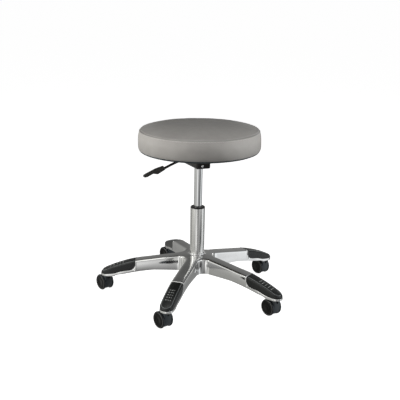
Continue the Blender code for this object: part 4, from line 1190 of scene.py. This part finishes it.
def cover_sheet(rows):
    """The cover as one sheet: a square-ringed disc for the top panel, so that its middle has
    no pinched point, then rings down the side and under to the lip."""
    size = TOP_RINGS
    index, verts, faces, ring_of = {}, [], [], []
    for i in range(-size, size + 1):
        for j in range(-size, size + 1):
            k = max(abs(i), abs(j))
            if k == 0:
                a = 0.0
            elif abs(i) >= abs(j):
                a = math.pi / 4 * (j / i) + (0.0 if i > 0 else math.pi)
            else:
                a = math.pi / 2 - math.pi / 4 * (i / j) + (0.0 if j > 0 else math.pi)
            r, z, _ = rows[k]
            index[(i, j)] = len(verts)
            verts.append((r * math.cos(a), r * math.sin(a), z))
            ring_of.append(k)
    for i in range(-size, size):
        for j in range(-size, size):
            square = ((i, j), (i + 1, j), (i + 1, j + 1), (i, j + 1))
            faces.append(tuple(index[p] for p in square))
    walk = [(size, j) for j in range(size)] + [(i, size) for i in range(size, -size, -1)]
    walk += [(-size, j) for j in range(size, -size, -1)] + [(i, -size) for i in range(-size, size)]
    walk += [(size, j) for j in range(-size, 0)]
    previous = [index[p] for p in walk]
    angles = [math.atan2(verts[v][1], verts[v][0]) for v in previous]
    for k in range(size + 1, len(rows)):
        r, z, _ = rows[k]
        ring = list(range(len(verts), len(verts) + len(angles)))
        verts += [(r * math.cos(a), r * math.sin(a), z) for a in angles]
        ring_of += [k] * len(angles)
        for m in range(len(ring)):
            q = (m + 1) % len(ring)
            faces.append((previous[q], previous[m], ring[m], ring[q]))
        previous = ring
    return verts, faces, ring_of


def read_vectors(mesh, attribute):
    values = np.zeros(len(mesh.vertices) * 3, np.float32)
    mesh.vertices.foreach_get(attribute, values)
    return values.reshape(-1, 3).astype(float)


def write_points(mesh, points):
    mesh.vertices.foreach_set("co", (points * MM).astype(np.float32).ravel())
    mesh.update()


def swell_cloth(sheet, loose, pins):
    """Points of the sheet, in mm, after a cloth simulation under pressure."""
    frames, furthest = 20, 12.0
    group = sheet.vertex_groups.new(name="held")
    for i, weight in enumerate(pins):
        if weight > 0:
            group.add([i], float(weight), "REPLACE")
    cloth = sheet.modifiers.new("Cloth", "CLOTH")
    settings = cloth.settings
    settings.quality = 8
    settings.mass = 0.35
    settings.tension_stiffness = settings.compression_stiffness = 22.0
    settings.shear_stiffness = 8.0
    settings.bending_stiffness = 1.6
    settings.tension_damping = settings.compression_damping = settings.shear_damping = 8.0
    settings.air_damping = 3.0
    settings.use_pressure = True
    settings.uniform_pressure_force = 4.0
    settings.vertex_group_mass = "held"
    settings.effector_weights.gravity = 0.0
    cloth.collision_settings.use_collision = False
    cloth.collision_settings.use_self_collision = False
    cloth.point_cache.frame_start, cloth.point_cache.frame_end = 1, frames
    scene.frame_start, scene.frame_end = 1, frames
    for f in range(1, frames + 1):
        scene.frame_set(f)
    evaluated = sheet.evaluated_get(bpy.context.evaluated_depsgraph_get())
    swollen = read_vectors(evaluated.to_mesh(), "co") / MM
    evaluated.to_mesh_clear()
    sheet.modifiers.remove(cloth)
    scene.frame_set(1)
    move = swollen - loose
    length = np.linalg.norm(move, axis=1)
    return loose + move * np.minimum(1.0, furthest / np.maximum(length, 1e-6))[:, None]


def stuffed_cover():
    """Swells the cover with its seam and lip held, then keeps each ring's average on the
    cushion's profile, so that only the cloth's own unevenness stays."""
    rows = slack_rows()
    verts, faces, ring_of = cover_sheet(rows)
    start = np.array(verts)
    ring_of = np.array(ring_of)
    rough = np.array([noise.noise(Vector(v) / 34.0) for v in verts]) * 0.5
    rough += np.array([noise.noise(Vector((x + 400, y, z)) / 12.0) for x, y, z in verts]) * 0.18
    outward = start - np.array([0, 0, 540.0])
    outward[:, 2] *= 2.2
    outward /= np.linalg.norm(outward, axis=1)[:, None]
    pins = np.array([rows[k][2] for k in ring_of])
    loose = start + outward * (rough * (1 - pins))[:, None]
    mesh = bpy.data.meshes.new("seat_cushion_cover")
    mesh.from_pydata([tuple(v * MM) for v in loose], [], faces)
    sheet = add_object("seat_cushion_cover", mesh)
    result = swell_cloth(sheet, loose, pins)

    radius = np.hypot(result[:, 0], result[:, 1])
    angle = np.arctan2(start[:, 1], start[:, 0])
    settled = result.copy()
    for k, (ring_r, ring_z) in enumerate(stuffed_rows()):
        ring = ring_of == k
        free = 1 - rows[k][2]
        r = ring_r + np.clip(radius[ring] - radius[ring].mean(), -1.2, 1.2) * free
        dz = np.clip(result[ring, 2] - result[ring, 2].mean(), -1.2, 1.2) * free
        settled[ring, 0] = r * np.cos(angle[ring])
        settled[ring, 1] = r * np.sin(angle[ring])
        settled[ring, 2] = ring_z + dz
    write_points(mesh, settled)
    subdivision = sheet.modifiers.new("sub", "SUBSURF")
    subdivision.levels = subdivision.render_levels = 1
    crease = mesh.attributes.new("crease_edge", "FLOAT", "EDGE")
    crease.data.foreach_set("value", [
        0.75 if all(ring_of[v] == TOP_RINGS for v in edge.vertices) else 0.0
        for edge in mesh.edges])
    bpy.context.view_layer.update()
    depsgraph = bpy.context.evaluated_depsgraph_get()
    fine = bpy.data.meshes.new_from_object(sheet.evaluated_get(depsgraph))
    bpy.data.objects.remove(sheet)
    return fine


# puckers along the seam: (waves round the edge, phase, size)
PUCKERS = ((61, 0.4, 0.30), (83, 1.9, 0.26), (113, 2.7, 0.22), (37, 0.9, 0.26))
# top of the dark band of painted shade on the cover's lower edge
EDGE_SHADE_TOP = 519.8
cover_mesh = stuffed_cover()
points = read_vectors(cover_mesh, "co") / MM
radius, height = np.hypot(points[:, 0], points[:, 1]), points[:, 2]
angle = np.arctan2(points[:, 1], points[:, 0])
to_seam = np.hypot(radius - SEAM_R, height - SEAM_Z)
on_top = (height > SEAM_Z - 0.5) & (radius < SEAM_R - 0.3)
on_side = ~on_top & (height < SEAM_Z + 0.5) & (radius > 190)


def seam_detail():
    """How far each point of the cover moves along its normal, in mm."""
    # the seam itself is pulled in, with a soft roll of vinyl on either side of it
    amount = -1.0 * np.exp(-(to_seam / 1.1) ** 2)
    amount += 0.55 * np.exp(-((to_seam - 4.2) / 2.6) ** 2)
    # short puckers across the seam, unevenly spaced round the edge
    ripple = np.zeros(len(points))
    for waves, phase, size in PUCKERS:
        ripple += size * np.sin(waves * angle + phase)
    uneven = np.array([noise.noise(Vector((math.cos(a) * 3.1, math.sin(a) * 3.1, 7.0)))
                       for a in angle])
    off_seam = to_seam > 0.8
    amount += (0.34 * ripple * (0.55 + 0.9 * uneven) * np.exp(-(to_seam / 9.0) ** 1.3)
               * off_seam * on_side)
    amount += 0.12 * ripple * np.exp(-(to_seam / 8.0) ** 1.3) * off_seam * on_top
    # the side is a little uneven round its height, and drawn in near its lower edge
    blotch = np.array([noise.noise(Vector((math.cos(a) * 5.2, math.sin(a) * 5.2, z / 26.0)))
                       for a, z in zip(angle, height)])
    amount += (0.55 * blotch * on_side * np.clip((SEAM_Z - height) / 12.0, 0, 1)
               * np.clip((height - 516) / 8.0, 0, 1))
    return amount - 0.35 * on_side * np.exp(-((height - 519.5) / 1.6) ** 2)


points = points + read_vectors(cover_mesh, "normal") * seam_detail()[:, None]
points += np.array([AXIS_X / MM, AXIS_Y / MM, 0.0])
write_points(cover_mesh, points)
for finish in ("vinyl", "underturn_shade"):
    cover_mesh.materials.append(FINISH[finish])
# faces below the band's top take the dark edge finish: painted shade where the side turns under
for face in cover_mesh.polygons:
    face.use_smooth = True
    face.material_index = 1 if face.center.z / MM < EDGE_SHADE_TOP else 0
cover_mesh.update()
cover = add_object("seat_cushion_cover", cover_mesh)
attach(cover, "seat")
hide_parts("seat_cover", "seat_foam")

# ---- seat stitching, dust cloth and screws ---------------------------------------------
STITCHES, STITCH_DROP, STITCH_HALF = 300, 4.4, 1.45
CLOTH_BOTTOM, CLOTH_TOP = z_range("dust_cover")
CLOTH_R, CLOTH_HOLE_R, HEM = half_width("dust_cover"), 114.0, 6.0
CLOTH_STEPS = 144


def topstitch():
    """Stitches below the seam, each a short bead of thread lying on the cover."""
    band = np.where(on_side & (to_seam > 2.0) & (to_seam < 7.5))[0]
    band_r = np.hypot(points[band, 0] - AXIS_X / MM, points[band, 1] - AXIS_Y / MM)
    band_z = points[band, 2]
    stitch_z = side_point(STITCH_DROP)[1]
    bm = bmesh.new()
    for k in range(STITCHES):
        a = 2 * math.pi * k / STITCHES
        near = np.abs((angle[band] - a + math.pi) % (2 * math.pi) - math.pi) < 0.03
        r = band_r[near][np.argsort(np.abs(band_z[near] - stitch_z))[:3]].mean()
        path = []
        for t in range(7):
            u = -1 + 2 * t / 6
            stitch_r = (r + 0.30 - 0.55 * abs(u) ** 3) * MM
            w = a + u * STITCH_HALF / r
            path.append(Vector((AXIS_X + stitch_r * math.cos(w), AXIS_Y + stitch_r * math.sin(w),
                                (stitch_z + 0.18 * u) * MM)))
        tube(bm, path, lambda i: 0.42 if 0 < i < 6 else 0.22, 6, Vector((0, 0, 1)))
    make("seat_topstitch", bm, ["thread"], "seat", sharp=80)


def dust_cloth():
    """A flat ring of cloth under the seat, thicker along both hems."""
    inner_hem, outer_hem = CLOTH_HOLE_R + HEM + 0.6, CLOTH_R - HEM - 1.2
    web_z = CLOTH_BOTTOM + 0.25
    profile = [(CLOTH_HOLE_R, CLOTH_TOP), (CLOTH_HOLE_R + 0.2, CLOTH_BOTTOM + 0.1),
               (CLOTH_HOLE_R + HEM, CLOTH_BOTTOM)]
    profile += [(inner_hem + (outer_hem - inner_hem) * i / 10, web_z) for i in range(11)]
    profile += [(CLOTH_R - HEM - 0.6, CLOTH_BOTTOM), (CLOTH_R - 0.4, CLOTH_BOTTOM),
                (CLOTH_R, CLOTH_BOTTOM + 0.3), (CLOTH_R, CLOTH_TOP)]
    bm = bmesh.new()
    rings = []
    for r, z in profile:
        ring = []
        for k in range(CLOTH_STEPS):
            a = 2 * math.pi * k / CLOTH_STEPS
            x, y = r * math.cos(a), r * math.sin(a)
            ripple = 0.18 * noise.noise(Vector((x, y, 0)) / 16.0) if z < CLOTH_TOP else 0
            ring.append(bm.verts.new((AXIS_X + x * MM, AXIS_Y + y * MM, (z + ripple) * MM)))
        rings.append(ring)
    skin_rings(bm, rings + rings[:1], caps=False)
    make("hemmed_dust_cloth", bm, ["cloth"], "seat", "dust_cover", sharp=60)


def staples():
    """Staples through both hems, slightly uneven in spacing and lean."""
    outline = [(-0.005, 0, 0.0009), (-0.005, 0, 0.0001), (-0.0046, 0, -0.0001),
               (0.0046, 0, -0.0001), (0.005, 0, 0.0001), (0.005, 0, 0.0009)]
    bm = bmesh.new()
    for row_r, count in ((CLOTH_R - 3.4, 40), (CLOTH_HOLE_R + 3.0, 26)):
        for k in range(count):
            a = 2 * math.pi * (k + 0.13 * math.sin(5.1 * k)) / count
            lean = 0.35 * math.sin(3.7 * k)
            place = (axis_frame(a) @ shift(row_r, 0, CLOTH_BOTTOM - 0.12)
                     @ turn("Z", math.pi / 2 + lean))
            tube(bm, [place @ Vector(p) for p in outline], 0.35, 6,
                 Vector((math.cos(a), math.sin(a), 0.2)))
    make("dust_cloth_staples", bm, ["zinc"], "seat", sharp=60)


def pan_head_screw(n):
    """A screw with its point up and its rounded head below."""
    node = "seat_screw_%d" % n
    centre = middle(node)
    bottom, top = z_range(node)
    under = bottom + 3.2                     # where the head meets the shank
    bm = bmesh.new()
    lathe(bm, fillet([(0, top), (1.6, top, 0.3), (3.0, top - 2.0, 0.5), (3.0, under),
                      (6.0, under, 0.2), (6.0, under - 1.4, 0.8), (4.6, under - 3.0, 1.0),
                      (1.9, under - 3.2, 0.2), (1.6, under - 1.2), (0, under - 1.0)], 3), 40,
          Matrix.Translation((centre.x, centre.y, 0)))
    make("pan_head_screw_%d" % n, bm, ["zinc"], "seat", node)


topstitch()
dust_cloth()
staples()
for n in range(1, 5):
    pan_head_screw(n)

# ---- floor and camera ------------------------------------------------------------------
FLOOR_HALF = 120.0
YAW, PITCH, ROLL = math.radians(4.1914), math.radians(16.2603), math.radians(-0.3772)
TOWARD_CAMERA = Vector((math.sin(YAW), -math.cos(YAW), 0))
CAMERA_RIGHT = Vector((math.cos(YAW), math.sin(YAW), 0))


def pale_floor():
    """A floor that glows nearly white from above and is clear from below."""
    mesh = bpy.data.meshes.new("pale_floor")
    corners = ((-1, -1), (1, -1), (1, 1), (-1, 1))
    mesh.from_pydata([(x * FLOOR_HALF, y * FLOOR_HALF, 0) for x, y in corners], [],
                     [(0, 1, 2, 3)])
    floor = add_object("pale_floor", mesh)
    material = bpy.data.materials.new("pale_floor")
    material.use_nodes = True
    s = Nodes(material.node_tree)
    output = s.add("ShaderNodeOutputMaterial")
    diffuse = s.add("ShaderNodeBsdfDiffuse", Color=(0.55, 0.55, 0.55))
    glow = s.add("ShaderNodeEmission", Color=(1.0, 1.0, 1.0), Strength=0.97)
    both = s.add("ShaderNodeAddShader")
    s.feed(both.inputs[0], diffuse.outputs[0])
    s.feed(both.inputs[1], glow.outputs[0])
    clear = s.add("ShaderNodeBsdfTransparent")
    pick = s.add("ShaderNodeMixShader")
    s.feed(pick.inputs[0], s.add("ShaderNodeNewGeometry").outputs["Backfacing"])
    s.feed(pick.inputs[1], both.outputs[0])
    s.feed(pick.inputs[2], clear.outputs[0])
    s.feed(output.inputs[0], pick.outputs[0])
    mesh.materials.append(material)
    floor.visible_glossy = False
    floor.visible_diffuse = False


def camera():
    data = bpy.data.cameras.new("camera")
    data.lens, data.sensor_width = 66.4858, 36.0
    data.shift_x, data.shift_y = 0.17231, 0.0
    data.clip_end = 400.0
    view = add_object("camera", data)
    place = Matrix.Translation((AXIS_X - 0.05076, AXIS_Y - 2.43557, 1.04795))
    view.matrix_world = (place @ turn("Z", YAW) @ turn("X", math.pi / 2 - PITCH)
                         @ turn("Z", ROLL))
    scene.camera = view


pale_floor()
camera()
scene.view_settings.view_transform = "Standard"
scene.cycles.use_denoising = True

# ---- studio surroundings and lights ----------------------------------------------------
# Cards, flags and gaps round the studio, as reflections see them: for each elevation in degrees,
# the brightness at even steps of azimuth from -180, where 0 is straight toward the camera and
# +90 is on the camera's right.
ROOM = {
    -50: (0.39, 0.39, 0.55, 0.00, 0.71, 0.43, 0.08, 0.20, 0.48, 0.52, 0.00, 0.77),
    -16: (0.06, 0.24, 0.24, 0.50, 0.50, 0.09, 0.75, 0.28, 0.65, 0.28, 0.85, 1.16,
          0.18, 0.40, 0.27, 0.04, 0.00, 1.01, 0.86, 0.01, 0.60, 0.28, 0.00, 0.33),
    15: (0.16, 0.34, 0.11, 0.91, 1.31, 0.66, 0.00, 1.01, 0.88, 1.17, 0.00, 0.27),
    42: (0.09, 0.12, 1.21, 0.00, 0.27, 0.91, 0.25, 0.20, 0.05, 0.31, 0.25, 0.15),
    66: (0.14, 0.25, 0.90, 0.90, 0.70, 0.30),
    90: (2.78,)}
# small bright lamps: azimuth, elevation and radius in degrees, brightness
LAMPS = ((-82, 36, 10, 2.6), (143, 12, 9, 2.4), (-58, 52, 8, 2.8), (60, 50, 8, 2.8))
WHITE = (1.0, 1.0, 1.0)


def grey(value):
    return (value, value, value)


def studio_direction(azimuth, elevation):
    a, e = math.radians(azimuth), math.radians(elevation)
    level = TOWARD_CAMERA * math.cos(a) + CAMERA_RIGHT * math.sin(a)
    return level * math.cos(e) + Vector((0, 0, math.sin(e)))


def studio_world():
    world = bpy.data.worlds.new("studio")
    scene.world = world
    world.use_nodes = True
    s = Nodes(world.node_tree)
    output = s.add("ShaderNodeOutputWorld")
    direction = s.add("ShaderNodeTexCoord").outputs["Generated"]

    def dot(vector):
        node = s.add("ShaderNodeVectorMath")
        node.operation = "DOT_PRODUCT"
        s.feed(node.inputs[0], direction)
        node.inputs[1].default_value = vector
        return node.outputs["Value"]
    toward, right, up = dot(TOWARD_CAMERA), dot(CAMERA_RIGHT), dot((0, 0, 1))
    circle = s.math("DIVIDE", s.math("ARCTAN2", right, toward), 2 * math.pi)
    azimuth = s.math("ADD", circle, 0.5)
    elevation = s.math("MULTIPLY", s.math("ARCSINE", up), 180 / math.pi)
    room = below = None
    for level, values in sorted(ROOM.items()):
        colour = grey(values[0])
        if len(values) > 1:
            colour = s.ramp(azimuth, [(i / len(values), grey(value))
                                      for i, value in enumerate(values + values[:1])])
        if room is None:
            room = colour
        else:
            room = s.mix(s.remap(elevation, to=(0.0, 1.0), of=(below, level)), room, colour)
        below = level
    # a little warmer on the left and cooler on the right
    tint = s.ramp(azimuth, [(0.0, (1.0, 1.0, 0.985)), (0.25, (1.0, 1.0, 0.955)), (0.5, WHITE),
                            (0.75, (0.975, 1.0, 1.02)), (1.0, (1.0, 1.0, 0.985))])
    room = s.mix(1.0, room, tint, "MULTIPLY")
    for lamp_azimuth, lamp_elevation, radius, power in LAMPS:
        edge, core = math.cos(math.radians(radius)), math.cos(math.radians(radius * 0.55))
        spot = s.remap(dot(studio_direction(lamp_azimuth, lamp_elevation)), to=(0.0, power),
                       of=(edge, core))
        room = s.mix(1.0, room, spot, "ADD")
    # other rays get a dim shade, and the camera sees white
    height = s.math("ADD", s.math("MULTIPLY", up, 0.5), 0.5)
    shade_colour = s.ramp(height, [(0.0, grey(0.015)), (0.46, grey(0.03)), (0.54, grey(0.04)),
                                   (1.0, grey(0.035))])
    ray = s.add("ShaderNodeLightPath").outputs
    seen = s.mix(ray["Is Glossy Ray"], shade_colour, room)
    seen = s.mix(ray["Is Camera Ray"], seen, WHITE)
    background = s.add("ShaderNodeBackground", Color=seen)
    s.feed(output.inputs[0], background.outputs[0])


def area_light(name, location, aim, size, power, colour=WHITE):
    """A rectangular light, not seen in reflections; size is (x, y) in metres."""
    light = bpy.data.lights.new(name, "AREA")
    light.shape = "RECTANGLE"
    light.size, light.size_y = size
    light.energy = power
    light.color = colour
    lamp = add_object(name, light)
    lamp.location = location
    lamp.rotation_mode = "QUATERNION"
    lamp.rotation_quaternion = aim.to_track_quat("-Z", "Y")
    lamp.visible_glossy = False


def softbox(name, azimuth, elevation, size, power, colour=WHITE):
    """A light aimed at the middle of the stool from 2.5 m away."""
    direction = studio_direction(azimuth, elevation)
    location = Vector((0, 0, 0.42)) + Vector((AXIS_X, AXIS_Y, 0)) + direction * 2.5
    area_light(name, location, -direction, size, power, colour)


studio_world()
softbox("softbox_left", -84, 2, size=(1.6, 0.8), power=101.0, colour=(1.0, 0.99, 0.975))
softbox("softbox_right", 86, 2, size=(1.6, 0.8), power=69.0, colour=(0.985, 0.99, 1.0))
softbox("softbox_front_right", 55, 4, size=(1.6, 0.8), power=14.0)
softbox("softbox_high", 0, 60, size=(1.8, 1.2), power=2.6)
area_light("softbox_near", Vector((AXIS_X, AXIS_Y - 0.45, 0.95)), Vector((0, 0.35, -0.35)),
           size=(0.6, 0.3), power=2.25)
